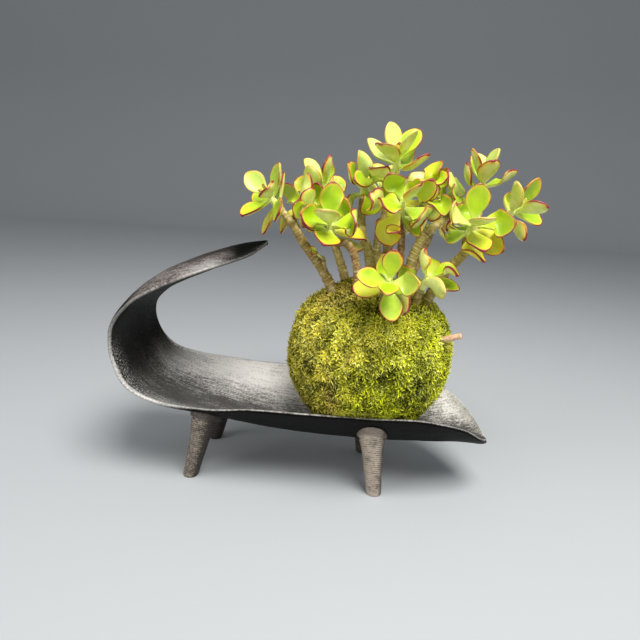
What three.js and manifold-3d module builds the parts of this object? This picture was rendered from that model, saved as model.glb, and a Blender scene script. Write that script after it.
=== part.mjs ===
// A kokedama: a ball of soil wrapped in moss, with jade plant shoots growing from its crown.
// It lies in a long ceramic tray that curls over like a scroll at one end and stands on four
// tapered feet. Millimetres, +Z up, +X along the tray to its pointed end, -Y to the viewer.
import * as THREE from "three";
import { mergeVertices } from "three/addons/utils/BufferGeometryUtils.js";
import Module from "manifold-3d";

const wasm = await Module();
wasm.setup();

// ---------------------------------------------------------------- driving dimensions
const gap = 0.3;                       // clearance between pieces that touch
const sliver = 0.005;                  // mm3 of overlap that isn't worth a cut
const curveStep = 1e-3;                // of a curve's whole, for the direction that it runs in

const ball = {
  centre: [0, 0, 109.5], radius: 65,   // the moss ball, widest half way up
  crown: 57.5, sole: 69.5,             // its flattened top and its underside, from the centre
  sag: 4,                              // that the underside hangs over to the left
  full: 2.2,                           // 2 for a true ball, more for a fuller one
  moss: 7.5,                           // thickness of the moss over the soil
  lump: 1.3,                           // how far the moss swells and dips
  facets: 0.6,                         // added so that the flat facets keep the mean size
  skinGrid: [24, 14], soilGrid: [14, 8], // steps around and upward
};

// The tray's middle surface: stations from the pointed end, along the floor and up the curl.
// Each is [x, z, half width, shift in y, rise of the near rim and of the far rim].
const tray = {
  wall: 4.2, rim: 3.2, riseCurve: 2.0,
  lengthSteps: 30, widthSteps: 8,
  stations: [
    [97.5, 44, 1.5, -13, 0, 0], [90, 43, 22, -7, 8, 11], [74, 41.5, 38, -2, 21, 23],
    [43, 39, 50, 0, 31.8, 31.8], [0, 37.3, 54, 0, 33.6, 33.6], [-50, 38.2, 55, 0, 32.5, 32.5],
    [-90, 42.2, 55, 0, 28.5, 28.5], [-126, 50.3, 54, 0, 17, 22.5], [-160, 59, 53, 0, 10.7, 17.5],
    [-186, 74.5, 51, -1, 7, 10.5], [-198.5, 99, 48, -3, 7, 4], [-199, 125, 44, -5, 6.5, 3],
    [-187, 144.5, 38, -5, 6, 6], [-168, 160.3, 32, -4, 8.5, 10], [-140, 173.5, 25, -3, 9, 10.5],
    [-112, 183.3, 17, -1, 8.5, 7], [-98, 187, 11, -0.5, 6.5, 4], [-86, 189, 1.5, 0, 0, 0],
  ],
};

// A foot, round and tapered, with a collar under the tray: radii, then lengths.
const foot = {
  tip: 6.0, neck: 9.0, collar: 11.6, collarHeight: 6, chamfer: 0.8,
  round: 1.2,                          // of the collar's edges
  above: 20,                           // that it reaches past the collar before the tray cuts it
  sides: 14,
};
// Where each stands, how far it leans in x and y from the table to its collar, how high the
// collar sits, and its slopes in x and y, which follow the tray.
const feet = {
  foot_front_left: { x: -138.5, y: -33, lean: [13.8, -5], collarAt: 53, slope: [-0.15, -0.45] },
  foot_front_right: { x: 11, y: -33, lean: [-4.9, -5], collarAt: 49.5, slope: [0, -0.75] },
  foot_back_left: { x: -138.5, y: 33, lean: [13.8, 5], collarAt: 55, slope: [-0.15, 0.55] },
  foot_back_right: { x: 1, y: 33, lean: [-4.9, 5], collarAt: 49.5, slope: [0, 0.75] },
};

const leaf = {
  width: 0.64,                         // of its length
  root: 0.16, tip: 0.06,               // width of the root and the tip, of the widest
  shoulder: 0.6,                       // where along the leaf it is widest
  waist: 1.6,                          // how long the leaf stays narrow above the root
  full: 1.15, blunt: 0.62,             // how full its end is, and how blunt its point
  thick: 2.6, thin: 0.5,               // along the midrib at the root, and how much of it is lost
  cup: 0.3,                            // rise of the margins over the midrib, of the half width
  steps: 20,                           // short steps that the midrib is followed in
  rings: [0, 7, 13, 18, 20],           // steps that carry a ring of the blade
  small: 20, fewRings: [0, 9, 17, 20], // a shorter blade carries fewer
  internode: 2.6,                      // between pairs, along the head's axis
};

// Pairs of leaves from the lowest up: upward slope, extra curl, and size of the longest.
const pairs = [
  { slope: -62, curl: 6, size: 0.95 }, { slope: -34, curl: 12, size: 1.02 },
  { slope: -8, curl: 14, size: 1.05 }, { slope: 20, curl: 14, size: 1.04 },
  { slope: 46, curl: 12, size: 0.95 }, { slope: 70, curl: 8, size: 0.34 },
];
const middlePair = 2.2;                // the place in that list that lies at a head's centre

// Every leaf head: its centre, its axis, its longest leaf, its first and last pair, its turn.
const heads = {
  leaves_far_left: { at: [-80, -12, 221], axis: [-0.48, -0.6, 0.64], leaf: 25, pairs: [1, 5], turn: 110 },
  leaves_left: { at: [-62, -4, 217], axis: [0.45, -0.6, 0.66], leaf: 25, pairs: [1, 4], turn: 150 },
  leaves_back_left: { at: [-45, 24, 232], axis: [-0.25, -0.35, 0.9], leaf: 25, pairs: [1, 4], turn: 150 },
  leaves_front_left: { at: [-35, -28, 205], axis: [-0.05, -0.66, 0.75], leaf: 28, pairs: [0, 4], turn: 84 },
  leaves_mid_left: { at: [-14, 18, 233], axis: [0.05, -0.4, 0.91], leaf: 26, pairs: [1, 4], turn: 110 },
  leaves_top: { at: [9, 0, 252], axis: [0, -0.5, 0.87], leaf: 27, pairs: [1, 5], turn: 140 },
  leaves_centre: { at: [14, -22, 222], axis: [0, -0.64, 0.77], leaf: 28, pairs: [0, 4], turn: 140 },
  leaves_mid_right: { at: [34, 12, 230], axis: [0.15, -0.45, 0.88], leaf: 26, pairs: [1, 4], turn: 120 },
  leaves_back_right: { at: [58, 34, 227], axis: [0.1, -0.3, 0.95], leaf: 25, pairs: [1, 4], turn: 150 },
  leaves_high_right: { at: [77, 24, 240], axis: [-0.1, -0.3, 0.95], leaf: 27, pairs: [2, 5], turn: 5 },
  leaves_far_right: { at: [94, -2, 221], axis: [0.7, -0.42, 0.58], leaf: 27, pairs: [2, 5], turn: 130 },
  leaves_front_right: { at: [62, -30, 210], axis: [0.05, -0.64, 0.77], leaf: 27.5, pairs: [0, 4], turn: 96 },
  leaves_low_front: { at: [8, -53.5, 171], axis: [0, -0.8, 0.6], leaf: 24, pairs: [0, 4], turn: 90 },
  leaves_low_right: { at: [34, -37, 172], axis: [0.3, -0.4, 0.87], leaf: 24, pairs: [2, 4], turn: 10 },
  leaves_back_far_left: { at: [-48, 46, 214], axis: [-0.35, 0.45, 0.82], leaf: 26, pairs: [2, 4], turn: 130 },
  leaves_back: { at: [4, 52, 226], axis: [0, 0.4, 0.92], leaf: 27, pairs: [2, 4], turn: 100 },
  leaves_back_far_right: { at: [48, 60, 206], axis: [0.3, 0.5, 0.8], leaf: 26, pairs: [2, 4], turn: 160 },
  leaves_sprout: { at: [-43, -22, 184], axis: [-0.6, -0.6, 0.5], leaf: 9, pairs: [4, 5], turn: 90 },
};
// How much steeper than the list of pairs says the leaves of some heads stand.
const lifts = {
  leaves_back_left: 12, leaves_mid_left: 8, leaves_top: 14, leaves_mid_right: 8,
  leaves_back_right: 10, leaves_high_right: 18, leaves_back: 8,
};
const core = { below: 6.5, above: 7.5, radius: 2.8, tip: 0.9, sides: 6, approach: 7, root: 0.8 };
const typicalLeaf = 26;                // the size of head that these lengths are for
const vary = { turn: 9, length: 0.07, slope: 9, curl: 10, cup: 0.12 };

// Each shoot: the route of its stem from the soil up, its radius at the foot and at the top,
// the head at its end, and the side branches, which start on it.
const stemTop = 2.5;
const shoots = {
  stem_left: {
    radius: 4.4, route: [[-27, -13, 136], [-31, -13, 155], [-44, -14, 177], [-57, -13, 193]],
    ends: "leaves_left",
    branches: [
      { radius: 3.2, route: [[-56, -13, 191], [-65, -13, 205]], ends: "leaves_far_left" },
      { radius: 1.6, route: [[-39, -15, 174]], ends: "leaves_sprout" },
    ],
  },
  stem_front_left: {
    radius: 3.1, route: [[-13, -26, 136], [-13, -28, 157], [-15, -31, 180], [-22, -31, 194]],
    ends: "leaves_front_left", branches: [],
  },
  stem_mid_left: {
    radius: 4.6, route: [[0, -3, 136], [-2, -2, 160], [-7, 4, 186], [-13, 9, 200]],
    ends: "leaves_mid_left",
    branches: [{ radius: 3.4, route: [[-12, 8, 198], [-30, 17, 208]], ends: "leaves_back_left" }],
  },
  stem_top: {
    radius: 4.4, route: [[8, 12, 136], [7, 10, 160], [8, 6, 192], [11, 4, 214], [10, 4, 232]],
    ends: "leaves_top", branches: [],
  },
  stem_centre: {
    radius: 2.8, route: [[19, -12, 136], [18, -12, 160], [17, -14, 182], [16, -17, 200]],
    ends: "leaves_centre", branches: [],
  },
  stem_mid_right: {
    radius: 4.6, route: [[25, 5, 136], [23, 5, 158], [28, 7, 184], [33, 9, 200]],
    ends: "leaves_mid_right",
    branches: [{ radius: 3.4, route: [[32, 8, 197], [46, 20, 210]], ends: "leaves_back_right" }],
  },
  stem_right: {
    radius: 4.4, route: [[37, -14, 136], [40, -15, 156], [51, -18, 178], [61, -22, 192]],
    ends: "leaves_front_right",
    branches: [
      { radius: 3.2, route: [[57, -20, 186], [72, -13, 203]], ends: "leaves_far_right" },
      { radius: 3.0, route: [[66, -17, 196], [72, 4, 212]], ends: "leaves_high_right" },
    ],
  },
  stem_low_front: {
    radius: 3.0, route: [[4, -32, 140], [4.5, -34, 151], [6, -39, 159]],
    ends: "leaves_low_front", branches: [],
  },
  stem_low_right: {
    radius: 3.0, route: [[28, -27, 140], [30, -30, 157]],
    ends: "leaves_low_right", branches: [],
  },
  stem_back_left: {
    radius: 4.2, route: [[-22, 19, 136], [-24, 22, 158], [-34, 32, 184]],
    ends: "leaves_back_far_left", branches: [],
  },
  stem_back: {
    radius: 4.4, route: [[2, 30, 136], [1, 32, 158], [0, 38, 186], [1, 42, 202]],
    ends: "leaves_back", branches: [],
  },
  stem_back_right: {
    radius: 4.0, route: [[26, 26, 136], [28, 29, 158], [37, 41, 182]],
    ends: "leaves_back_far_right", branches: [],
  },
};
const stem = { sides: 6, ringEvery: 12 };

// The cut end of an old branch that pokes out of the moss.
const twig = { from: [38, -26, 124], to: [63, -37, 134.8], radius: 2.6, tip: 2.1, sides: 9 };

// Things that a growing leaf keeps off.
const berth = { margin: 1.0, reach: 9, ownStem: 15, stemPoints: 10 };

// ---------------------------------------------------------------- colours and finishes
const finish = (colour, roughness, metalness = 0) =>
  new THREE.MeshStandardMaterial({ color: colour, roughness, metalness });
const glaze = finish(0x3a3836, 0.38, 0.55);
const roughClay = finish(0x5b5149, 0.85);
const soil = finish(0x3a281c, 0.95);
const moss = finish(0x8a9a2c, 0.95);
const bark = finish(0x8a7a52, 0.8);
const cutWood = finish(0xc49a78, 0.75);
const leafGreen = finish(0xa9cc45, 0.45);

// ---------------------------------------------------------------- small tools
const vector = (list) => new THREE.Vector3(...list);
const mix = (a, b, t) => a + (b - a) * t;

// A repeatable draw between -1 and 1.
function draw(a, b) {
  const s = Math.sin(a * 12.9898 + b * 78.233) * 43758.5453;
  return (s - Math.floor(s)) * 2 - 1;
}

// A smooth curve through points that each hold any number of values.
function curveThrough(points, t) {
  const last = points.length - 1;
  const at = (i) => {
    if (i < 0) return points[0].map((v, k) => 2 * v - points[1][k]);
    if (i > last) return points[last].map((v, k) => 2 * v - points[last - 1][k]);
    return points[i];
  };
  const i = Math.min(Math.floor(t * last), last - 1);
  const w = t * last - i;
  const [a, b, c, d] = [at(i - 1), at(i), at(i + 1), at(i + 2)];
  return b.map((v, k) => {
    const leave = (c[k] - a[k]) / 2;
    const arrive = (d[k] - v) / 2;
    const square = -3 * v + 3 * c[k] - 2 * leave - arrive;
    return v + leave * w + square * w * w + (2 * v - 2 * c[k] + leave + arrive) * w * w * w;
  });
}

// A manifold solid of points and triangles.
function solidOf(points, triangles) {
  const vertProperties = new Float32Array(points.flatMap((p) => [p.x, p.y, p.z]));
  const triVerts = new Uint32Array(triangles.flat());
  return new wasm.Manifold(new wasm.Mesh({ numProp: 3, vertProperties, triVerts }));
}

// A closed skin over rings with the same number of points, each end filled by a fan. The
// quads of the second half of a ring are split the other way, so that both faces of a blade
// are split alike.
function loft(rings) {
  const sides = rings[0].length;
  const triangles = [];
  for (let r = 0; r < rings.length - 1; r++) {
    for (let s = 0; s < sides; s++) {
      const a = r * sides + s;
      const b = r * sides + ((s + 1) % sides);
      const [c, d] = [b + sides, a + sides];
      if (s < sides / 2) triangles.push([a, b, c], [a, c, d]);
      else triangles.push([a, b, d], [b, c, d]);
    }
  }
  const end = (rings.length - 1) * sides;
  for (let s = 1; s < sides - 1; s++) {
    triangles.push([0, s + 1, s], [end, end + s, end + s + 1]);
  }
  const points = rings.flat();
  const solid = solidOf(points, triangles);
  if (solid.volume() > 0) return solid;
  return solidOf(points, triangles.map(([a, b, c]) => [a, c, b]));
}

// A three.js geometry as a manifold solid.
function solidOfGeometry(geometry) {
  geometry.deleteAttribute("normal");
  geometry.deleteAttribute("uv");
  const merged = mergeVertices(geometry, 1e-4);
  const position = merged.getAttribute("position");
  const points = Array.from({ length: position.count }, (_, i) =>
    new THREE.Vector3().fromBufferAttribute(position, i));
  const index = merged.getIndex().array;
  const triangles = [];
  for (let i = 0; i < index.length; i += 3) triangles.push([index[i], index[i + 1], index[i + 2]]);
  return solidOf(points, triangles);
}

// The largest loose body of a solid, which drops the scraps of a cut.
function mainBody(solid) {
  return solid.decompose().reduce((a, b) => (a.volume() > b.volume() ? a : b));
}

function meshOf(solid, name, material) {
  const { vertProperties, triVerts, numProp } = solid.simplify(0.05).getMesh();
  const positions = [];
  for (let i = 0; i < vertProperties.length; i += numProp) {
    positions.push(vertProperties[i], vertProperties[i + 1], vertProperties[i + 2]);
  }
  const geometry = new THREE.BufferGeometry();
  geometry.setAttribute("position", new THREE.Float32BufferAttribute(positions, 3));
  geometry.setIndex(Array.from(triVerts));
  geometry.computeVertexNormals();
  const mesh = new THREE.Mesh(geometry, material);
  mesh.name = name;
  return mesh;
}

// ---------------------------------------------------------------- tray and feet
// The tray is a band carried along its stations. Across it the rims rise by a power curve
// along the normal that points into the curl, and the wall thins from the middle to the rims.
// spare makes it thicker on every side, for cutting its neighbours clear.
function traySolid(spare) {
  const rings = [];
  for (let i = 0; i <= tray.lengthSteps; i++) {
    const t = i / tray.lengthSteps;
    const [x, z, half, shift, nearRise, farRise] = curveThrough(tray.stations, t);
    const before = curveThrough(tray.stations, Math.max(t - curveStep, 0));
    const after = curveThrough(tray.stations, Math.min(t + curveStep, 1));
    const along = new THREE.Vector2(after[0] - before[0], after[1] - before[1]).normalize();
    const inward = new THREE.Vector3(along.y, 0, -along.x);
    const inner = [];
    const outer = [];
    for (let j = 0; j <= tray.widthSteps; j++) {
      const v = (2 * j) / tray.widthSteps - 1;
      const rise = v < 0 ? nearRise : farRise;
      const slope = (rise * tray.riseCurve * Math.sign(v) * Math.abs(v) ** (tray.riseCurve - 1)) / half;
      const normal = inward.clone().add(new THREE.Vector3(0, -slope, 0)).normalize();
      const middle = new THREE.Vector3(x, shift + (half + spare) * v, z);
      middle.addScaledVector(inward, rise * Math.abs(v) ** tray.riseCurve);
      const depth = mix(tray.wall, tray.rim, v ** 4) / 2 + spare;
      inner.push(middle.clone().addScaledVector(normal, depth));
      outer.push(middle.clone().addScaledVector(normal, -depth));
    }
    rings.push([...inner, ...outer.reverse()]);
  }
  return loft(rings);
}

// A turned foot. It leans and tilts more the higher it gets, so that its tip stays flat on the
// table and its collar lies along the tray.
function footSolid({ x, y, lean, collarAt, slope }, trayClear) {
  const { tip, neck, collar, collarHeight, chamfer, round, sides, above } = foot;
  const collarTop = collarAt + collarHeight;
  const top = collarTop + above;       // inside the tray, which cuts it off
  const profile = [
    [0, 0], [tip - chamfer, 0], [tip, chamfer], [neck, collarAt - round],
    [collar, collarAt + round / 2], [collar, collarTop - round],
    [collar - round, collarTop], [collar - round, top], [0, top],
  ].map(([r, h]) => new THREE.Vector2(r, h));
  const geometry = new THREE.LatheGeometry(profile, sides).rotateX(Math.PI / 2);
  const position = geometry.getAttribute("position");
  for (let i = 0; i < position.count; i++) {
    const p = new THREE.Vector3().fromBufferAttribute(position, i);
    const high = p.z / collarAt;
    const tilt = slope[0] * p.x + slope[1] * p.y;
    position.setXYZ(i, x + p.x + lean[0] * high, y + p.y + lean[1] * high, p.z + tilt * high);
  }
  const pieces = solidOfGeometry(geometry).subtract(trayClear).decompose();
  const lowest = (solid) => solid.boundingBox().min[2];
  return pieces.reduce((a, b) => (lowest(a) < lowest(b) ? a : b));
}

// ---------------------------------------------------------------- moss ball
// A ball with a flattened crown and an underside that hangs over. inset takes its skin inwards,
// and lump makes it swell and dip.
function ballSolid(inset, lump, [around, upward]) {
  const geometry = new THREE.SphereGeometry(1, around, upward).rotateX(Math.PI / 2);
  const position = geometry.getAttribute("position");
  for (let i = 0; i < position.count; i++) {
    const p = new THREE.Vector3().fromBufferAttribute(position, i);
    const round = 2 / ball.full;
    const flat = Math.hypot(p.x, p.y);
    const spread = flat > 0 ? flat ** round / flat : 0;
    const rise = Math.sign(p.z) * Math.abs(p.z) ** round;
    const swell = Math.sin(5 * p.x + 1) * Math.sin(4 * p.y + 2) + 0.6 * Math.sin(9 * p.z + 4 * p.x);
    const radius = ball.radius - inset + lump * swell;
    const height = (p.z > 0 ? ball.crown : ball.sole) - inset + lump * swell;
    const hang = ball.sag * Math.max(0, -p.z);
    position.setXYZ(i, p.x * spread * radius - hang, p.y * spread * radius, rise * height);
  }
  geometry.translate(...ball.centre);
  return solidOfGeometry(geometry);
}

// ---------------------------------------------------------------- stems
// A round tapered rod along a smooth route, with its rings square to the route.
function rod(route, foot, top, sides, spare = 0) {
  const length = route.slice(1).reduce((sum, p, i) => sum + vector(p).distanceTo(vector(route[i])), 0);
  const count = Math.max(3, Math.round(length / stem.ringEvery));
  const at = (t) => vector(curveThrough(route, t));
  let across = new THREE.Vector3(1, 0, 0.01);
  const rings = [];
  for (let i = 0; i <= count; i++) {
    const t = i / count;
    const tangent = at(Math.min(t + curveStep, 1)).sub(at(Math.max(t - curveStep, 0))).normalize();
    across = across.addScaledVector(tangent, -across.dot(tangent)).normalize();
    const other = new THREE.Vector3().crossVectors(tangent, across);
    const centre = at(t);
    if (i === 0) centre.addScaledVector(tangent, -spare);
    if (i === count) centre.addScaledVector(tangent, spare);
    const radius = mix(foot, top, t) + spare;
    rings.push(Array.from({ length: sides }, (_, s) => {
      const turn = (2 * Math.PI * s) / sides;
      return centre.clone().addScaledVector(across, radius * Math.cos(turn))
        .addScaledVector(other, radius * Math.sin(turn));
    }));
  }
  return loft(rings);
}

// A stem's route goes on to the seat of its head and meets it square.
function fullRoute({ route, ends }) {
  const head = heads[ends];
  const axis = vector(head.axis).normalize();
  const small = head.leaf / typicalLeaf;
  const seat = vector(head.at).addScaledVector(axis, -core.below * small - gap);
  const approach = seat.clone().addScaledVector(axis, -core.approach * small);
  return [...route, approach.toArray(), seat.toArray()];
}

function stemRods(shoot, spare) {
  return [shoot, ...shoot.branches].map((branch) => {
    const top = stemTop * Math.min(1, heads[branch.ends].leaf / leaf.small);
    return rod(fullRoute(branch), branch.radius, top, stem.sides, spare);
  });
}

function stemSolid(shoot, spare = 0) {
  return wasm.Manifold.union(stemRods(shoot, spare));
}

// ---------------------------------------------------------------- leaves
// What the leaves of a head keep off: the plane half way to each neighbouring head, the moss
// ball, and the stems other than the piece of stem right under the head.
function hindrances(name) {
  const centre = vector(heads[name].at);
  const planes = Object.keys(heads).filter((other) => other !== name).map((other) => {
    const toward = vector(heads[other].at).sub(centre);
    return { plane: true, middle: centre.clone().addScaledVector(toward, 0.5), toward: toward.normalize() };
  });
  const balls = [{ centre: vector(ball.centre), radius: ball.radius + ball.lump }];
  for (const shoot of Object.values(shoots)) {
    for (const branch of [shoot, ...shoot.branches]) {
      const route = fullRoute(branch);
      for (let i = 0; i <= berth.stemPoints; i++) {
        const t = i / berth.stemPoints;
        const point = vector(curveThrough(route, t));
        if (point.distanceTo(centre) > berth.ownStem) {
          balls.push({ centre: point, radius: mix(branch.radius, stemTop, t) });
        }
      }
    }
  }
  return [...planes, ...balls];
}

// Turns a leaf's heading, and in front of a plane also its width, along what it comes near.
function steer(point, heading, side, halfWidth, things) {
  for (const thing of things) {
    const toward = thing.plane ? thing.toward : thing.centre.clone().sub(point);
    let room = 0;
    if (thing.plane) {
      room = thing.middle.clone().sub(point).dot(toward) - halfWidth * Math.abs(side.dot(toward));
    } else {
      room = toward.length() - thing.radius;
      toward.normalize();
    }
    const press = Math.min(1, 1 - (room - berth.margin) / berth.reach);
    if (press <= 0) continue;
    const ahead = heading.dot(toward);
    if (ahead > 0) heading.addScaledVector(toward, -ahead * press).normalize();
    if (thing.plane) side.addScaledVector(toward, -side.dot(toward) * press).normalize();
    side.addScaledVector(heading, -side.dot(heading)).normalize();
  }
}

// Half the width of a blade at u from its root to its tip, for a width of 1: a sine up to the
// shoulder and an end that rounds in and closes to a small point.
function outline(u) {
  if (u < leaf.shoulder) {
    const rise = Math.sin((Math.PI / 2) * (u / leaf.shoulder) ** leaf.waist);
    return (leaf.root + (1 - leaf.root) * rise) / 2;
  }
  const fall = (u - leaf.shoulder) / (1 - leaf.shoulder);
  return Math.max(leaf.tip, Math.cos((Math.PI / 2) * fall ** leaf.full) ** leaf.blunt) / 2;
}

// One leaf. Its midrib is followed in short steps, curls up by the same angle in each, and is
// steered clear. Each ring has a point on either margin and one on either face.
function leafSolid(root, outward, axis, length, slope, curl, cup, things) {
  const point = root.clone();
  const side = new THREE.Vector3().crossVectors(axis, outward);
  const lift = THREE.MathUtils.degToRad(slope);
  const heading = outward.clone().multiplyScalar(Math.cos(lift)).addScaledVector(axis, Math.sin(lift));
  const bend = THREE.MathUtils.degToRad(curl) / leaf.steps;
  const rings = length < leaf.small ? leaf.fewRings : leaf.rings;
  const sections = [];
  for (let i = 0; i <= leaf.steps; i++) {
    const u = i / leaf.steps;
    const halfWidth = length * leaf.width * outline(u);
    const normal = new THREE.Vector3().crossVectors(heading, side);
    if (rings.includes(i)) {
      const thick = leaf.thick * Math.min(1, length / leaf.small) * (1 - leaf.thin * u * u);
      const row = (v, rise) => point.clone()
        .addScaledVector(side, halfWidth * v)
        .addScaledVector(normal, cup * halfWidth * v * v + rise);
      sections.push([row(-1, 0), row(0, thick / 2), row(1, 0), row(0, -thick / 2)]);
    }
    heading.multiplyScalar(Math.cos(bend)).addScaledVector(normal, Math.sin(bend));
    steer(point, heading, side, halfWidth, things);
    point.addScaledVector(heading, length / leaf.steps);
  }
  return loft(sections);
}

// The short green core that a head's leaves stand out of, flat underneath where the stem ends.
function coreSolid(centre, axis, small) {
  const profile = [
    [0, -core.below], [core.radius, -core.below], [core.radius, 0], [core.tip, core.above], [0, core.above],
  ].map(([r, h]) => new THREE.Vector2(r * small, h * small));
  const turn = new THREE.Quaternion().setFromUnitVectors(new THREE.Vector3(0, 1, 0), axis);
  const geometry = new THREE.LatheGeometry(profile, core.sides).applyQuaternion(turn);
  return solidOfGeometry(geometry.translate(...centre.toArray()));
}

// A head: opposite pairs of leaves up its axis, each pair a quarter turn from the one below.
function headSolid(name, number) {
  const { at, axis: lean, leaf: longest, pairs: [first, last], turn } = heads[name];
  const centre = vector(at);
  const axis = vector(lean).normalize();
  const east = new THREE.Vector3(0, 1, 0).cross(axis).normalize();
  const north = new THREE.Vector3().crossVectors(axis, east);
  const small = longest / typicalLeaf;
  const lift = lifts[name] ?? 0;
  const things = hindrances(name);
  const pieces = [coreSolid(centre, axis, small)];
  for (let k = first; k <= last; k++) {
    for (const way of [0, 1]) {
      const seed = 20 * number + 2 * k + way;
      const angle = THREE.MathUtils.degToRad(turn + 90 * k + 180 * way + vary.turn * draw(seed, 1));
      const outward = east.clone().multiplyScalar(Math.cos(angle)).addScaledVector(north, Math.sin(angle));
      const length = longest * pairs[k].size * (1 + vary.length * draw(seed, 2));
      const slope = pairs[k].slope + lift + vary.slope * draw(seed, 3);
      const curl = pairs[k].curl + vary.curl * draw(seed, 4);
      const cup = leaf.cup + vary.cup * draw(seed, 5);
      const root = centre.clone().addScaledVector(axis, leaf.internode * (k - middlePair) * small)
        .addScaledVector(outward, core.root * small);
      pieces.push(leafSolid(root, outward, axis, length, slope, curl, cup, things));
    }
  }
  return wasm.Manifold.union(pieces);
}

// Trims the last slivers of a head that reach past the plane to a neighbour or into a stem.
function trimmed(head, name, obstacles) {
  const centre = vector(heads[name].at);
  for (const [other, { at }] of Object.entries(heads)) {
    if (other === name) continue;
    const back = centre.clone().sub(vector(at));
    const middle = vector(at).addScaledVector(back, 0.5);
    back.normalize();
    head = head.trimByPlane(back.toArray(), middle.dot(back) + gap / 2);
  }
  for (const obstacle of obstacles) {
    if (head.intersect(obstacle).volume() > sliver) head = head.subtract(obstacle);
  }
  return mainBody(head);
}

// ---------------------------------------------------------------- the whole object
const plant = new THREE.Group();
const add = (solid, name, material) => plant.add(meshOf(solid, name, material));

const trayClear = traySolid(gap);
add(traySolid(0), "tray", glaze);
for (const [name, place] of Object.entries(feet)) add(footSolid(place, trayClear), name, roughClay);

const twigRoute = [twig.from, twig.to];
const twigSolid = rod(twigRoute, twig.radius, twig.tip, twig.sides);
const holes = wasm.Manifold.union([
  ...Object.values(shoots).map((shoot) => stemSolid(shoot, gap)),
  rod(twigRoute, twig.radius, twig.tip, twig.sides, gap),
]);
const soilBall = ballSolid(ball.moss, 0, ball.soilGrid);
const mossOutside = ballSolid(-ball.facets, ball.lump, ball.skinGrid);
const mossInside = ballSolid(ball.moss - gap, 0, ball.soilGrid);
add(mainBody(soilBall.subtract(holes)), "soil_ball", soil);
add(mainBody(mossOutside.subtract(mossInside).subtract(holes).subtract(trayClear)), "moss_cover", moss);
add(twigSolid, "twig_stub", cutWood);

for (const [name, shoot] of Object.entries(shoots)) add(stemSolid(shoot), name, bark);

const mossClear = ballSolid(-ball.facets - gap, ball.lump, ball.skinGrid);
const stemsClear = Object.values(shoots).map((shoot) => stemSolid(shoot, gap));
Object.keys(heads).forEach((name, number) => {
  add(trimmed(headSolid(name, number), name, [mossClear, ...stemsClear]), name, leafGreen);
});

// The origin is under the middle of the object, on the table.
const box = new THREE.Box3().setFromObject(plant);
plant.position.set(-(box.min.x + box.max.x) / 2, -(box.min.y + box.max.y) / 2, -box.min.z);

export default plant;
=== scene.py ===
"""A kokedama: a moss ball with jade plant shoots, in a curling ceramic tray on four feet.

The script dresses the packed model. Its formulas work in millimetres in the maker's own frame, where
X runs along the tray to its pointed end, Y to the back, and the middle of the ball is over the
origin; to_frame() turns them into the packed model's metres.
"""

import bpy
import numpy as np
from bpy.props import FloatProperty, FloatVectorProperty, IntProperty, PointerProperty
from mathutils import Matrix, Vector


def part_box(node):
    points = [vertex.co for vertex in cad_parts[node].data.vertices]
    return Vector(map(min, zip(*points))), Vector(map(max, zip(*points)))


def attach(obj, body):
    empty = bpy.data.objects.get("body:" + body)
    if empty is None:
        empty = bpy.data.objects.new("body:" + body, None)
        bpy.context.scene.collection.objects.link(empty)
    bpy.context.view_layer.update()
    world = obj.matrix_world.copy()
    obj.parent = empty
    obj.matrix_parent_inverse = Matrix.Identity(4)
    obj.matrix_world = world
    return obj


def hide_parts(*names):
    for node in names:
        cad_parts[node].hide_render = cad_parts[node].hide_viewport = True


bl_info = {
    "name": "Kokedama in a scroll tray",
    "version": (1, 0, 0),
    "blender": (4, 5, 0),
    "location": "3D View > Sidebar > Kokedama",
    "description": "Makes the tray, moss, shoots and leaves of a kokedama over its packed model",
    "category": "Object",
}

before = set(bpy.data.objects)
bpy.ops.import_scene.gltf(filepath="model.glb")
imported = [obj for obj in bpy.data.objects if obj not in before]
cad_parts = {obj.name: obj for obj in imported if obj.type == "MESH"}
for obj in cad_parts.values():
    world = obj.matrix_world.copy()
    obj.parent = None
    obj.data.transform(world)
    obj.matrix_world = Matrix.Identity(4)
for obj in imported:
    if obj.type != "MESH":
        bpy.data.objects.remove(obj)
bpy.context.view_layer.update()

# ---- sizes shared with the solids
# The ball: its radius, the height of its top and the depth of its underside, how far that hangs over
# to the left, the power of the superellipse, its lumps, and how deep the moss is.
BALL = {"centre": (0, 0, 109.5), "radius": 65, "crown": 57.5, "sole": 69.5, "sag": 4,
        "full": 2.2, "lump": 1.3, "moss": 7.5}

# The tray's middle surface: x, z, half width, shift in y, rise of the near and of the far rim.
TRAY_STATIONS = np.array([
    [97.5, 44, 1.5, -13, 0, 0], [90, 43, 22, -7, 8, 11], [74, 41.5, 38, -2, 21, 23],
    [43, 39, 50, 0, 31.8, 31.8], [0, 37.3, 54, 0, 33.6, 33.6], [-50, 38.2, 55, 0, 32.5, 32.5],
    [-90, 42.2, 55, 0, 28.5, 28.5], [-126, 50.3, 54, 0, 17, 22.5], [-160, 59, 53, 0, 10.7, 17.5],
    [-186, 74.5, 51, -1, 7, 10.5], [-198.5, 99, 48, -3, 7, 4], [-199, 125, 44, -5, 6.5, 3],
    [-187, 144.5, 38, -5, 6, 6], [-168, 160.3, 32, -4, 8.5, 10], [-140, 173.5, 25, -3, 9, 10.5],
    [-112, 183.3, 17, -1, 8.5, 7], [-98, 187, 11, -0.5, 6.5, 4], [-86, 189, 1.5, 0, 0, 0],
])
TRAY_RISE_CURVE = 2.0
UPRIGHT_STATION = 10                     # where the floor has turned upright

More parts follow.
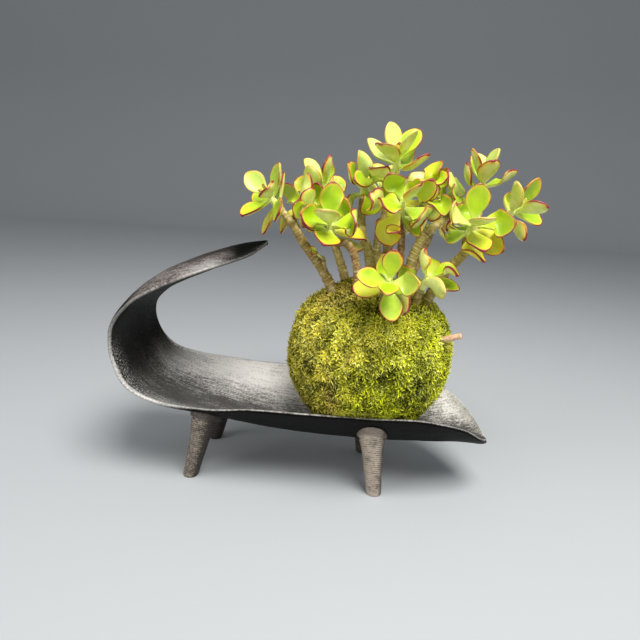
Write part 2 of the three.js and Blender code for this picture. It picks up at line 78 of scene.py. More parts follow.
# A foot's radii and the power of its taper, its collar, the flare and the groove below the collar,
# its ridges' height and wandering, and how far it stays inside the tray's wall.
FOOT = {
    "tip": 6.0, "neck": 9.0, "taper": 1.2, "collar": 11.6, "collar_height": 6,
    "flare": 0.9, "flare_height": 16, "groove": 0.5, "groove_below": 0.8, "groove_width": 0.7,
    "ridge": 0.13, "wander": (0.3, 0.12), "clear": 0.2,
}
FOOT_BEVEL = ((0, 1.0), (0.15, 0.35), (0.5, 0.1))        # height, and how much narrower there
# Where each foot_... stands, how far it leans in x and y from the table to its collar, the height of
# the collar, and the collar's slopes in x and y.
FEET = {
    "front_left": ((-138.5, -33), (13.8, -5), 53, (-0.15, -0.45)),
    "front_right": ((11, -33), (-4.9, -5), 49.5, (0, -0.75)),
    "back_left": ((-138.5, 33), (13.8, 5), 55, (-0.15, 0.55)),
    "back_right": ((1, 33), (-4.9, 5), 49.5, (0, 0.75)),
}

# A leaf: its width over its length, how wide its root and tip are against that, where it is widest,
# the powers of its outline, its cup, the steps of its midrib, the length below which it is thinner,
# and the distance between pairs.
LEAF = {
    "width": 0.64, "root": 0.16, "tip": 0.06, "shoulder": 0.6, "waist": 1.6, "full": 1.15,
    "blunt": 0.62, "cup": 0.3, "steps": 20, "small": 20, "internode": 2.6,
}
# Pairs of leaves from the lowest up: slope and curl in degrees, and size of the longest.
PAIRS = np.array([
    [-62, 6, 0.95], [-34, 12, 1.02], [-8, 14, 1.05], [20, 14, 1.04], [46, 12, 0.95], [70, 8, 0.34],
])
MIDDLE_PAIR = 2.2                        # the place in that list that lies at a head's centre
# Every leaf head, leaves_...: its centre, its axis, its longest leaf, its first and last pair, its turn.
HEADS = {
    "far_left": ((-80, -12, 221), (-0.48, -0.6, 0.64), 25, (1, 5), 110),
    "left": ((-62, -4, 217), (0.45, -0.6, 0.66), 25, (1, 4), 150),
    "back_left": ((-45, 24, 232), (-0.25, -0.35, 0.9), 25, (1, 4), 150),
    "front_left": ((-35, -28, 205), (-0.05, -0.66, 0.75), 28, (0, 4), 84),
    "mid_left": ((-14, 18, 233), (0.05, -0.4, 0.91), 26, (1, 4), 110),
    "top": ((9, 0, 252), (0, -0.5, 0.87), 27, (1, 5), 140),
    "centre": ((14, -22, 222), (0, -0.64, 0.77), 28, (0, 4), 140),
    "mid_right": ((34, 12, 230), (0.15, -0.45, 0.88), 26, (1, 4), 120),
    "back_right": ((58, 34, 227), (0.1, -0.3, 0.95), 25, (1, 4), 150),
    "high_right": ((77, 24, 240), (-0.1, -0.3, 0.95), 27, (2, 5), 5),
    "far_right": ((94, -2, 221), (0.7, -0.42, 0.58), 27, (2, 5), 130),
    "front_right": ((62, -30, 210), (0.05, -0.64, 0.77), 27.5, (0, 4), 96),
    "low_front": ((8, -53.5, 171), (0, -0.8, 0.6), 24, (0, 4), 90),
    "low_right": ((34, -37, 172), (0.3, -0.4, 0.87), 24, (2, 4), 10),
    "back_far_left": ((-48, 46, 214), (-0.35, 0.45, 0.82), 26, (2, 4), 130),
    "back": ((4, 52, 226), (0, 0.4, 0.92), 27, (2, 4), 100),
    "back_far_right": ((48, 60, 206), (0.3, 0.5, 0.8), 26, (2, 4), 160),
    "sprout": ((-43, -22, 184), (-0.6, -0.6, 0.5), 9, (4, 5), 90),
}
# How much steeper than the list of pairs says the leaves of some heads stand.
LIFTS = {
    "back_left": 12, "mid_left": 8, "top": 14, "mid_right": 8,
    "back_right": 10, "high_right": 18, "back": 8,
}
# A head's core: how far it goes below and above the centre, its radii, how long before its seat the
# stem runs straight, and how far from the axis the leaves start.
CORE = {"below": 6.5, "above": 7.5, "radius": 2.8, "tip": 0.9, "approach": 7, "root": 0.8}
TYPICAL_LEAF = 26                        # the size of head that the core's lengths are for
# How much leaves vary: turn, slope and curl in degrees, and length and cup as shares.
VARY = {"turn": 9, "length": 0.07, "slope": 9, "curl": 10, "cup": 0.12}
# Leaves are turned along what is nearer than margin + reach, fully at the margin. The points of a
# stem that lie within own_stem of the head's centre are left out.
BERTH = {"margin": 1.0, "reach": 9, "own_stem": 15, "stem_points": 10}
GAP = 0.3

# Each shoot, stem_..., has the greenness of its bark and its rods. A rod has its radius at the foot,
# the head at its end and its route up to that. The first rod is the main stem, from which the
# others branch.
STEM_TOP = 2.5
SHOOTS = {
    "left": (0.45, [
        (4.4, "left", [(-27, -13, 136), (-31, -13, 155), (-44, -14, 177), (-57, -13, 193)]),
        (3.2, "far_left", [(-56, -13, 191), (-65, -13, 205)]),
        (1.6, "sprout", [(-39, -15, 174)]),
    ]),
    "front_left": (0.15, [
        (3.1, "front_left", [(-13, -26, 136), (-13, -28, 157), (-15, -31, 180), (-22, -31, 194)]),
    ]),
    "mid_left": (0.9, [
        (4.6, "mid_left", [(0, -3, 136), (-2, -2, 160), (-7, 4, 186), (-13, 9, 200)]),
        (3.4, "back_left", [(-12, 8, 198), (-30, 17, 208)]),
    ]),
    "top": (0.55, [
        (4.4, "top", [(8, 12, 136), (7, 10, 160), (8, 6, 192), (11, 4, 214), (10, 4, 232)]),
    ]),
    "centre": (0.0, [
        (2.8, "centre", [(19, -12, 136), (18, -12, 160), (17, -14, 182), (16, -17, 200)]),
    ]),
    "mid_right": (0.8, [
        (4.6, "mid_right", [(25, 5, 136), (23, 5, 158), (28, 7, 184), (33, 9, 200)]),
        (3.4, "back_right", [(32, 8, 197), (46, 20, 210)]),
    ]),
    "right": (0.7, [
        (4.4, "front_right", [(37, -14, 136), (40, -15, 156), (51, -18, 178), (61, -22, 192)]),
        (3.2, "far_right", [(57, -20, 186), (72, -13, 203)]),
        (3.0, "high_right", [(66, -17, 196), (72, 4, 212)]),
    ]),
    "low_front": (0.8, [
        (3.0, "low_front", [(4, -32, 140), (4.5, -34, 151), (6, -39, 159)]),
    ]),
    "low_right": (0.4, [
        (3.0, "low_right", [(28, -27, 140), (30, -30, 157)]),
    ]),
    "back_left": (0.6, [
        (4.2, "back_far_left", [(-22, 19, 136), (-24, 22, 158), (-34, 32, 184)]),
    ]),
    "back": (0.7, [
        (4.4, "back", [(2, 30, 136), (1, 32, 158), (0, 38, 186), (1, 42, 202)]),
    ]),
    "back_right": (0.4, [
        (4.0, "back_far_right", [(26, 26, 136), (28, 29, 158), (37, 41, 182)]),
    ]),
}
TWIG = {"route": [(38, -26, 124), (63, -37, 134.8)], "radius": 2.6, "tip": 2.1, "relief": 0.1}

# The camera, in the maker's frame: it stands here, turned left, tilted down and rolled (degrees),
# with a lens of this focal length and a sensor of this width, in mm.
CAMERA = {"at": (-8.32, -381.46, 225.18), "turned": (5, 14, 3), "lens": 27.56, "sensor": 36}
# The lights, in metres: how wide they are, where they stand, and the point they look at.
LIGHTS = {"key": (0.6, (0.30, -0.50, 1.12)), "fill": (0.8, (-1.0, -0.7, 0.7))}
LIGHTS_AIM = (0, 0, 0.12)

# ---- sizes of the surfaces, in mm
# Smooth noises, each a sum of parts with a strength, a size and a seed.
TRAY_DENTS = ((0.25, 19, 2), (0.1, 6, 3))
FOOT_DENTS = ((0.22, 3.5, 4),)
FOOT_PATCHES = ((0.6, 6, 6),)            # how unevenly the throwing ridges are worn
BARK_LUMPS = ((0.5, 4, 51),)
MOSS_CUSHIONS = ((1.0, 8, 21), (0.9, 3.5, 22))
MOSS_SHADES = ((1.0, 26, 11), (0.6, 9, 12))
MOSS_PATCHES = ((1.0, 15, 13), (0.5, 5, 14))
MOSS_SPECKLE = ((0.5, 2, 23),)
# How far the rims wander, how often, and the half width up to which they wander less.
TRAY_WAVER = {"far": 0.3, "often": 40, "narrow": 20}
RIM_REACH = 10                           # the distance from the rim that is painted as 1
FACES_APART = 40                         # so that the streaks on the two faces differ
MOSS_SECTORS, SECTOR_SEED = 6, 7000      # the sprigs' pieces, and how far apart their draws lie
BED_SHADE = 0.2                          # the moss bed, painted as if this far up a blade
# The moss keeps inside the rims of the tray, and spreads over them between these heights.
OVER_RIM = {"inside": 2.6, "spread": 14, "from": 1, "to": 15}
# Moss sprigs: how unevenly they stand, turn, lean (degrees) and grow, how far a blade bends
# (radians) and where, how wide it is at its foot, and how far it rises out of its painted shade,
# more so on a cushion, so that the hollows keep more painted shade.
SPRIG = {
    "jitter": 0.012, "tilt": 0.35, "turn": 2.5, "lean": 46, "lean_spread": 22, "bend": 0.55,
    "length_spread": 0.35, "stray": 0.5, "twist": 0.5, "knee": 0.55, "foot": 0.6,
    "bright": 0.78, "bright_on_cushion": 0.42,
}
# Leaf scars: how unevenly they lie, the widths of ring and groove, and where and how deep that is.
SCAR = {"spread": 0.4, "ring": 0.75, "groove": 0.42, "above": 1.0, "depth": 0.8, "seam": 0.35}
# The skin of a leaf: how much closer its rows lie towards the tip, how round its edge is, how much
# its outline wavers and its end thins, and the distance that counts as 1 from the margin.
LEAF_SKIN = {"crowd": 1.45, "round": 0.75, "waver": 0.035, "thin": 0.45, "margin": 8}
CORE_PAINT = (1.0, 0.3, 0.3, 0.15)       # as the foot of a middling leaf

# Bands along the tray, from its point at 0 to the end of the curl at 1: where each begins,
# is full, starts to fade and is gone. The lobe is scuffed rim with a painted highlight, the sandy
# band speckle, the crest a painted sheen and the gleam a painted highlight.
LOBE_BAND = (0.38, 0.48, 0.54, 0.60)
SANDY_BAND = (0.42, 0.50, 0.58, 0.64)
CREST_BAND = (0.70, 0.76, 0.83, 0.90)
GLEAM_BAND = (0.79, 0.84, 0.85, 0.88)


# ---- small tools
def unit(vectors):
    """The vectors, each divided by its own length."""
    return vectors / np.linalg.norm(vectors, axis=-1, keepdims=True)


def dot(a, b):
    """The dot products of two arrays of vectors."""
    return np.sum(a * b, axis=-1)


def mix(a, b, t):
    """The value a fraction t of the way from a to b."""
    return a + (b - a) * t


def stacked(*numbers):
    """Arrays and numbers, spread to one shape and put side by side along a new last axis."""
    return np.stack(np.broadcast_arrays(*numbers), axis=-1)


def smooth(low, high, value):
    """0 below low, 1 above high, and 3t^2 - 2t^3 between them."""
    t = np.clip((value - low) / (high - low), 0, 1)
    return t * t * (3 - 2 * t)


def bell(value, width):
    """1 at 0, and exp(-(value / width)^2) to both sides."""
    return np.exp(-((value / width) ** 2))


def circle(columns):
    """Evenly spaced turns round a circle."""
    return np.linspace(0, 2 * np.pi, columns, endpoint=False)


def spoke(turn, side, other):
    """The directions at these turns from side towards other: cos * side + sin * other."""
    return np.cos(turn)[..., None] * side + np.sin(turn)[..., None] * other


def draw(a, b):
    """A repeatable draw between -1 and 1: the fraction of a large sine, spread over that range."""
    s = np.sin(a * 12.9898 + b * 78.233) * 43758.5453
    return (s - np.floor(s)) * 2 - 1


def three_draws(a, first):
    """Three draws side by side."""
    return stacked(*(draw(a, first + n) for n in range(3)))


def value_noise(points, size, seed):
    """Smooth noise from -1 to 1: a draw at each corner of a lattice of cubes of this size, and
    inside a cube the eight corners mixed by 3t^2 - 2t^3 along each axis."""
    place = np.asarray(points, float) / size
    cell = np.floor(place)
    t = smooth(0, 1, place - cell)
    total = np.zeros(place.shape[:-1])
    for corner in np.ndindex(2, 2, 2):
        weight = np.prod(np.where(corner, t, 1 - t), axis=-1)
        x, y, z = np.moveaxis(cell + corner, -1, 0)
        total += weight * draw(x + 57 * y + 0.5 * seed, 113 * z + seed)
    return total


def noises(points, parts):
    """The sum of the noise's parts at these points."""
    return sum(strength * value_noise(points, size, seed) for strength, size, seed in parts)


def curve_through(points, t):
    """A smooth curve through points, for t from 0 to 1: between two points it is the cubic that
    leaves and arrives along the lines between their neighbours, and the ends are carried on
    straight."""
    points = np.asarray(points, float)
    ends = 2 * points[[0, -1]] - points[[1, -2]]
    whole = np.vstack([ends[:1], points, ends[1:]])
    place = np.asarray(t, float) * (len(points) - 1)
    i = np.clip(np.floor(place).astype(int), 0, len(points) - 2)
    w = (place - i)[..., None]
    a, b, c, d = whole[i], whole[i + 1], whole[i + 2], whole[i + 3]
    leave, arrive = (c - a) / 2, (d - b) / 2
    square = -3 * b + 3 * c - 2 * leave - arrive
    return b + leave * w + square * w**2 + (2 * b - 2 * c + leave + arrive) * w**3


def way_along(points, t, step=1e-3):
    """Where the smooth curve goes at each t: from its point a step before to that a step after."""
    ends = (np.minimum(t + step, 1), np.maximum(t - step, 0))
    return curve_through(points, ends[0]) - curve_through(points, ends[1])


def frame_shift():
    """How far the packed model lies from the maker's frame, in mm. There the soil ball reaches to
    x = its radius and as far to the back as to the front, and z = 0 is the table in both."""
    low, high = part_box("soil_ball")
    soil_radius = BALL["radius"] - BALL["moss"]
    return np.array([high.x * 1000 - soil_radius, (low.y + high.y) * 500, 0.0])


SHIFT = frame_shift()


def to_frame(points):
    """Points in mm in the maker's frame, as metres in the packed model's."""
    return (np.asarray(points, float) + SHIFT) / 1000


# ---- meshes
def sheath(points, paint, sweep=None):
    """A closed skin over one grid, or several, of rows that run round along their columns. Each end
    is closed by a fan to the middle of its row. It gives points, faces, paint and sweep."""
    grids = (points, paint, points if sweep is None else sweep)
    grids = [grid.reshape(-1, *grid.shape[-3:]) for grid in grids]
    count, rows, columns, _ = grids[0].shape
    ring = rows * columns

    def with_middles(values):
        ends = values[:, [0, -1]].mean(axis=2)
        flat = np.concatenate([values.reshape(count, ring, -1), ends], axis=1)
        return flat.reshape(count * (ring + 2), -1)

    points, paint, sweep = map(with_middles, grids)
    r, c = np.meshgrid(np.arange(rows - 1), np.arange(columns), indexing="ij")
    here = (r * columns + c).ravel()
    beside = (r * columns + (c + 1) % columns).ravel()
    quads = stacked(here, beside, beside + columns, here + columns)
    j = np.arange(columns)
    k = (j + 1) % columns
    last = ring - columns
    triangles = np.concatenate([stacked(k, j, ring), stacked(last + j, last + k, ring + 1)])
    a, b, d = (points[quads[:, n]] for n in (0, 1, 3))
    if dot(np.cross(b - a, d - a), a - points[:ring].mean(axis=0)).sum() < 0:
        quads, triangles = quads[:, ::-1], triangles[:, ::-1]
    starts = np.arange(count)[:, None, None] * (ring + 2)
    faces = [(corners + starts).reshape(-1, corners.shape[1]) for corners in (quads, triangles)]
    return points, faces, paint, sweep


def new_object(name, data):
    """A new object in the scene for a mesh, a lamp or a camera."""
    thing = bpy.data.objects.new(name, data)
    bpy.context.scene.collection.objects.link(thing)
    return thing


def make_piece(name, skins, material, nodes):
    """One mesh object from skins. It stands for the nodes and takes its finish from the slot."""
    starts = np.cumsum([0] + [len(skin[0]) for skin in skins])
    faces = [f + start for skin, start in zip(skins, starts) for f in skin[1]]
    corners = np.concatenate([f.ravel() for f in faces]).astype(np.int32)
    sizes = np.concatenate([np.full(len(f), f.shape[1]) for f in faces]).astype(np.int32)
    points, paint = (np.concatenate([skin[n] for skin in skins]) for n in (0, 2))
    mesh = bpy.data.meshes.new(name)
    mesh.vertices.add(len(points))
    mesh.vertices.foreach_set("co", to_frame(points).ravel())
    mesh.loops.add(len(corners))
    mesh.loops.foreach_set("vertex_index", corners)
    mesh.polygons.add(len(sizes))
    mesh.polygons.foreach_set("loop_start", (np.cumsum(sizes) - sizes).astype(np.int32))
    mesh.polygons.foreach_set("use_smooth", np.ones(len(sizes), bool))
    mesh.update(calc_edges=True)
    painted = mesh.attributes.new("paint", "FLOAT_COLOR", "POINT")
    painted.data.foreach_set("color", paint.ravel())
    if skins[0][3] is not None:
        sweep = np.concatenate([skin[3] for skin in skins]) / 1000
        swept = mesh.attributes.new("sweep", "FLOAT_VECTOR", "POINT")
        swept.data.foreach_set("vector", sweep.ravel())
    mesh.materials.append(material)
    piece = new_object(name, mesh)
    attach(piece, "root")
    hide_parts(*nodes)


# ---- materials
class Graph:
    """A material's nodes, added one after another. Its methods return the new node's output."""

    def __init__(self, name, **fixed):
        self.material = bpy.data.materials.new(name)
        self.material.use_nodes = True
        self.nodes = self.material.node_tree.nodes
        self.shader = self.nodes["Principled BSDF"]
        for socket, value in fixed.items():
            self.shader.inputs[socket.replace("_", " ")].default_value = value

    def join(self, value, socket):
        """Puts a number, a colour or another node's output into a socket."""
        if isinstance(value, bpy.types.NodeSocket):
            self.material.node_tree.links.new(value, socket)
        elif hasattr(value, "__len__") and len(value) == 3 and socket.type == "RGBA":
            socket.default_value = (*value, 1)
        else:
            socket.default_value = value

    def finish(self, socket, value):
        self.join(value, self.shader.inputs[socket])

    def node(self, kind, inputs, **settings):
        """A new node of this kind, with these inputs and settings. It gives the node's outputs."""
        node = self.nodes.new("ShaderNode" + kind)
        for name, setting in settings.items():
            setattr(node, name, setting)
        for socket, value in inputs.items():
            self.join(value, node.inputs[socket])
        return node.outputs

    def paint(self):
        """The four numbers painted on the mesh."""
        painted = self.node("Attribute", {}, attribute_name="paint")
        return (*self.node("SeparateColor", {"Color": painted["Color"]}), painted["Alpha"])

    def sweep(self):
        """The mesh's own way along and across."""
        return self.node("Attribute", {}, attribute_name="sweep")["Vector"]

    def place(self):
        return self.node("TexCoord", {})["Object"]

    def stretched(self, vector, *scale):
        return self.node("Mapping", {"Vector": vector, "Scale": scale})["Vector"]

    def noise(self, vector, scale, detail=3, rough=0.55):
        inputs = {"Vector": vector, "Scale": scale, "Detail": detail, "Roughness": rough}
        return self.node("TexNoise", inputs)["Fac"]

    def math(self, operation, first, *others):
        """The operation on the first value and each other in turn."""
        for other in others:
            first = self.node("Math", {0: first, 1: other}, operation=operation)[0]
        return first

    def add(self, *values):
        return self.math("ADD", *values)

    def times(self, *values):
        return self.math("MULTIPLY", *values)

    def step(self, value, low, high, bottom=0.0, top=1.0):
        """A smooth step from bottom to top as the value goes from low to high."""
        inputs = dict(enumerate((value, low, high, bottom, top)))
        return self.node("MapRange", inputs, interpolation_type="SMOOTHSTEP")["Result"]

    def sway(self, noise, amount, low=0.3, high=0.7):
        """The main range of a noise, spread from minus to plus the amount."""
        return self.step(noise, low, high, -amount, amount)

    def band(self, value, places, top=1.0):
        """Rises to top between the first two places and falls to 0 between the last two."""
        begins, full, fades, gone = places
        return self.times(self.step(value, begins, full, 0, top), self.step(value, gone, fades))

    def mix(self, factor, a, b):
        return self.node("Mix", {"Factor": factor, 6: a, 7: b}, data_type="RGBA")[2]

    def layers(self, colour, *coats):
        """The colour with coats over it, each given by its strength and its own colour."""
        for strength, coat in coats:
            colour = self.mix(strength, colour, coat)
        return colour

    def bump(self, height, strength, depth):
        inputs = {"Height": height, "Strength": strength, "Distance": depth}
        self.finish("Normal", self.node("Bump", inputs)["Normal"])


def glaze_material(look):
    """Gunmetal glaze with fine streaks along the tray and speckle. Painted reflection makes the floor
    pale up its far side, painted shade darkens it into the curl, and it is dark underneath; it is
    faintly metallic on the floor and the curl's crest, where a painted sheen lights the crest. The rims
    are scuffed bright, most at the near rim's lobe, where the inside is sandy, and that band is also a
    painted highlight along the rims. Paint: distance from the rim, inner face, way along the tray
    and way across from the near rim."""
    g = Graph("glaze", Specular_IOR_Level=0.05)
    edge, inner, along, across = g.paint()
    sweep, place = g.sweep(), g.place()
    streak = g.noise(g.stretched(sweep, 34, 640, 1), 1, 5, 0.7)
    fine = g.noise(g.stretched(sweep, 130, 2400, 1), 1, 3)
    cloud = g.noise(g.stretched(sweep, 30, 60, 1), 1, 3)
    coarse = g.noise(place, 620, 2, 0.7)
    grain = g.noise(place, 1500, 2, 0.6)
    speck = g.step(g.noise(place, 800, 2, 0.6), 0.54, 0.60)
    marks = g.add(g.sway(streak, 0.20), g.sway(fine, 0.14), g.sway(cloud, 0.12), g.sway(coarse, 0.20))
    is_inner = g.step(inner, 0.3, 0.7)

    # Painted reflection makes the floor palest towards the far rim, a little paler again at the near one
    # and darker towards the point.
    pale = g.add(g.step(across, 0.46, 0.94, 0.06, 0.90), g.step(across, 0.30, 0.02, 0, 0.30),
                 g.step(along, 0.20, 0.10, 0, -0.16))
    floor = g.mix(g.step(g.add(pale, marks), 0, 1), look.floor_dark, look.floor_streaks_and_reflection)
    # Painted shade darkens the floor into the curl, down to the curl's near-black with a faint speckle.
    curl = g.mix(g.times(speck, 0.2), look.curl_shade, look.floor_dark)
    depth = g.add(along, g.times(g.add(across, marks), -0.03))
    sandy = g.times(g.step(across, 0.30, 0.0, 0, 0.8), g.band(along, SANDY_BAND), speck)
    inside = g.layers(floor, (g.step(depth, 0.37, 0.57), curl), (sandy, look.worn_and_highlight))

    # The outer face is dark but for the curl's crest, which a painted sheen lights; painted shade dims
    # the crest beyond its middle, and a painted highlight gleams on the near side of the beak.
    shine = g.band(along, CREST_BAND)
    dim = g.times(g.step(along, 0.77, 0.84), g.step(across, 0.10, 0.36, 0, 0.9))
    gleam = g.times(g.band(along, GLEAM_BAND), g.step(across, 0.20, 0.04, 0, 0.45))
    crest = g.mix(g.step(g.add(marks, 0.45), 0.1, 0.9), look.crest_dark, look.crest_sheen)
    crest = g.layers(crest, (dim, look.crest_dark), (gleam, look.worn_and_highlight))
    face = g.mix(is_inner, g.mix(shine, look.under, crest), inside)

    # The scuffed band along the rims is partly a painted highlight; it widens at the near rim's lobe.
    lobe = g.times(g.band(along, LOBE_BAND, 0.36), g.step(coarse, 0.35, 0.6, 0.1, 1.0))
    from_rim = g.math("SUBTRACT", g.add(edge, g.sway(coarse, 0.08)), lobe)
    both_faces = g.math("MAXIMUM", g.step(inner, 0.6, 0.8), g.step(along, 0.42, 0.50))
    width = look.wear_and_highlight * 1000 / RIM_REACH
    wear_and_highlight = g.times(g.step(from_rim, 0.2 * width, 0.8 * width, 0.9, 0.0),
                   g.step(coarse, 0.3, 0.6, 0.4, 0.9), both_faces,
                   g.step(along, 0.56, 0.68, 1.0, 0.3))
    g.finish("Base Color", g.mix(wear_and_highlight, face, look.worn_and_highlight))
    lit = g.math("MAXIMUM", g.times(is_inner, g.step(depth, 0.55, 0.37)), shine)
    g.finish("Metallic", g.times(lit, 0.55))
    g.finish("Roughness", g.step(g.add(streak, grain), 0.7, 1.3, 0.34, 0.52))
    g.bump(g.add(g.times(streak, 0.5), g.times(grain, 0.5), g.times(fine, 0.4)), 0.45, 0.0005)
    return g.material


def clay_material(look):
    """Rough thrown clay: brown-grey, with a painted highlight on its ridges and painted shade in the
    grooves, dark on the collar, with pale grains. Paint: ridge height, height up the foot, a
    painted light that makes feet further right paler, and a painted light that is brightest on one
    side of the foot and turns to painted shade round the others."""
    g = Graph("rough_clay", Specular_IOR_Level=0.5, Metallic=0.4)
    ridge, height, pale, painted_side_light = g.paint()
    place = g.place()
    grain = g.noise(place, 600, 3, 0.75)
    blotch = g.noise(place, 130, 3)
    # Painted shade in the grooves of the throwing ridges, stronger on the paler feet.
    grooves = g.times(g.step(ridge, 0.5, 0.1), g.step(pale, 0, 1, 0.2, 0.7),
                      g.step(g.noise(place, 420, 3), 0.42, 0.58))
    # Painted light lightens the ridges, the feet further right and one side of each foot, and darkens
    # the other sides.
    tone = g.add(g.times(grain, 0.9), g.times(ridge, g.step(pale, 0, 1, 0.10, 0.30)),
                 g.step(pale, 0, 1, -0.16, 0.06), g.step(painted_side_light, 0.45, 1.0, -0.20, 0.18))
    body = g.mix(g.step(tone, 0.32, 0.78), look.clay_dark, look.clay_light)
    # Painted shade darkens the grooves and the sides of a foot away from its painted light, alongside
    # the dark blotches and the dark collar.
    for shade in (g.step(blotch, 0.48, 0.75, 0, 0.55), grooves,
                  g.step(painted_side_light, 0.85, 0.45, 0, 0.55), g.step(height, 0.87, 0.92, 0, 0.6)):
        body = g.mix(shade, body, look.clay_dark)
    glint = g.step(g.noise(place, 2300, 1), 0.66, 0.74, 0, 0.6)
    g.finish("Base Color", g.mix(glint, body, look.clay_glint))
    smoother_collar = g.step(height, 0.87, 0.92, 0, -0.12)
    g.finish("Roughness", g.add(g.step(grain, 0.3, 0.7, 0.36, 0.62), smoother_collar))
    g.bump(g.add(grain, g.times(blotch, 0.5)), 0.8, 0.0012)
    return g.material


def moss_material(look):
    """Moss: painted shade at the foot of a blade giving way to its colour at the tip, with small patches
    of painted shade among the tips, lime with greener, olive and dead brown places. Paint: way up the
    blade, a draw for the sprig, greenness and deadness."""
    g = Graph("moss", Roughness=0.75, Specular_IOR_Level=0.15)
    rise, chance, green, dead = g.paint()
    # The tip's colour, with small patches of painted shade; below it, painted shade at the foot of each
    # blade.
    tip = g.layers(g.mix(green, look.olive, look.lime),
                   (g.step(chance, 0.6, 1.0, 0, 0.9), look.bright),
                   (g.step(chance, 0.4, 0.0, 0, 0.85), look.deep),
                   (dead, look.dead),
                   (g.step(g.noise(g.place(), 900, 2), 0.6, 0.3, 0, 0.35), look.shade))
    g.finish("Base Color", g.mix(g.step(rise, 0.1, 0.85), look.shade, tip))
    return g.material


def soil_material():
    """Dark crumbly soil, of two browns in grains of about a millimetre."""
    g = Graph("soil", Roughness=0.95)
    grain = g.noise(g.place(), 700, 4, 0.7)
    g.finish("Base Color", g.mix(g.step(grain, 0.4, 0.65), (0.03, 0.018, 0.01), (0.10, 0.065, 0.04)))
    g.bump(grain, 0.8, 0.001)
    return g.material


def bark_material(look):
    """Bark: tan to olive, mottled, with dark leaf scars that have a pale lip. Paint: scar, height
    and greenness."""
    g = Graph("bark", Roughness=0.6, Specular_IOR_Level=0.35)
    scar, height, green, _ = g.paint()
    mottle = g.noise(g.place(), 260, 4, 0.65)
    fibre = g.noise(g.stretched(g.sweep(), 350, 2600, 1), 1, 3)
    skin = g.layers(g.mix(green, look.brown, look.olive),
                    (g.step(mottle, 0.45, 0.66, 0, 0.7), look.pale),
                    (g.step(fibre, 0.5, 0.75, 0, 0.45), look.scar),
                    (g.step(height, 0.9, 1.0, 0, 0.5), look.young),
                    (g.step(scar, 0.35, 0.85, 0, 0.9), look.scar))
    g.finish("Base Color", skin)
    g.bump(g.add(mottle, g.times(fibre, 0.6)), 0.5, 0.0006)
    return g.material


def cut_wood_material(look):
    """The twig: pinkish tan skin, and a paler cut end. Paint: 1 on the cut."""
    g = Graph("cut_wood", Roughness=0.6)
    cut = g.paint()[0]
    grain = g.noise(g.place(), 500, 3)
    skin = g.mix(g.step(grain, 0.35, 0.7), look.twig_dark, look.twig)
    g.finish("Base Color", g.mix(g.step(cut, 0.4, 0.6), skin, look.twig_cut))
    g.bump(grain, 0.4, 0.0003)
    return g.material


def leaf_material(look):
    """Jade leaves: green above, paler with a bloom below and at the root, some leaves pale and some
    yellow, with a thin red margin and an amber band just inside it. Paint: distance from the margin
    over 8 mm, upper face, a draw for the leaf, and way from root to tip."""
    g = Graph("leaf_green", Specular_IOR_Level=0.45, Subsurface_Weight=0.15,
              Subsurface_Radius=(0.002, 0.0025, 0.0005), Subsurface_Scale=1.0, Coat_Weight=0.1)
    edge, upper, chance, along = g.paint()
    place = g.place()
    cloud = g.noise(place, 90, 3)
    fine = g.noise(place, 1200, 2)
    fresh = g.step(cloud, 0.35, 0.65)
    top = g.layers(g.mix(fresh, look.upper, look.upper_fresh),
                   (g.step(edge, 0.50, 0.1, 0, 0.45), look.under_green),
                   (g.step(chance, 0.30, 0.05, 0, 0.6), look.under_leaf))
    bottom = g.mix(fresh, look.under_leaf, look.under_green)
    amber = g.times(g.step(g.add(edge, g.sway(g.noise(place, 160, 3), 0.09)), 0.05, 0.46, 0.9, 0.0),
                    g.step(chance, 0.0, 0.7, 0.35, 1.0), g.step(along, 0.25, 0.7))
    red = g.times(g.step(g.add(edge, g.sway(cloud, 0.03)), 0.09, 0.21, 1.0, 0.0),
                  g.step(along, 0.28, 0.6), g.step(chance, 0.05, 0.35, 0.3, 1.0),
                  g.step(g.noise(place, 60, 2), 0.36, 0.48, 0.5, 1.0))
    body = g.layers(g.mix(g.step(upper, 0.35, 0.65), bottom, top),
                    (g.step(chance, 0.65, 0.9, 0, 0.7), look.yellow),
                    (g.step(along, 0.30, 0.0, 0, 0.5), look.under_leaf),
                    (amber, look.amber), (red, look.margin))
    g.finish("Base Color", body)
    g.finish("Roughness", g.step(fine, 0.3, 0.7, 0.36, 0.5))
    g.bump(fine, 0.15, 0.0002)
    return g.material


# ---- tray
def tray_station(x):
    """The station of the tray's floor at each x."""
    t = np.linspace(0, UPRIGHT_STATION / (len(TRAY_STATIONS) - 1), 400)
    station = curve_through(TRAY_STATIONS, t)
    return [np.interp(x, station[::-1, 0], station[::-1, n]) for n in range(6)]


def tray_underside(x, y):
    """Height of the tray's middle surface over a point of the floor: the station at this x, and
    there z + rise * v^2 with v from -1 to 1 across. Outside the rims it is far below."""
    _, z, half, shift, near, far = tray_station(x)
    v = (y - shift) / half
    rise = np.where(v < 0, near, far)
    height = z + rise * np.abs(np.clip(v, -1, 1)) ** TRAY_RISE_CURVE
    return np.where((np.abs(v) <= 1) & (x < TRAY_STATIONS[0, 0]), height, -1000)


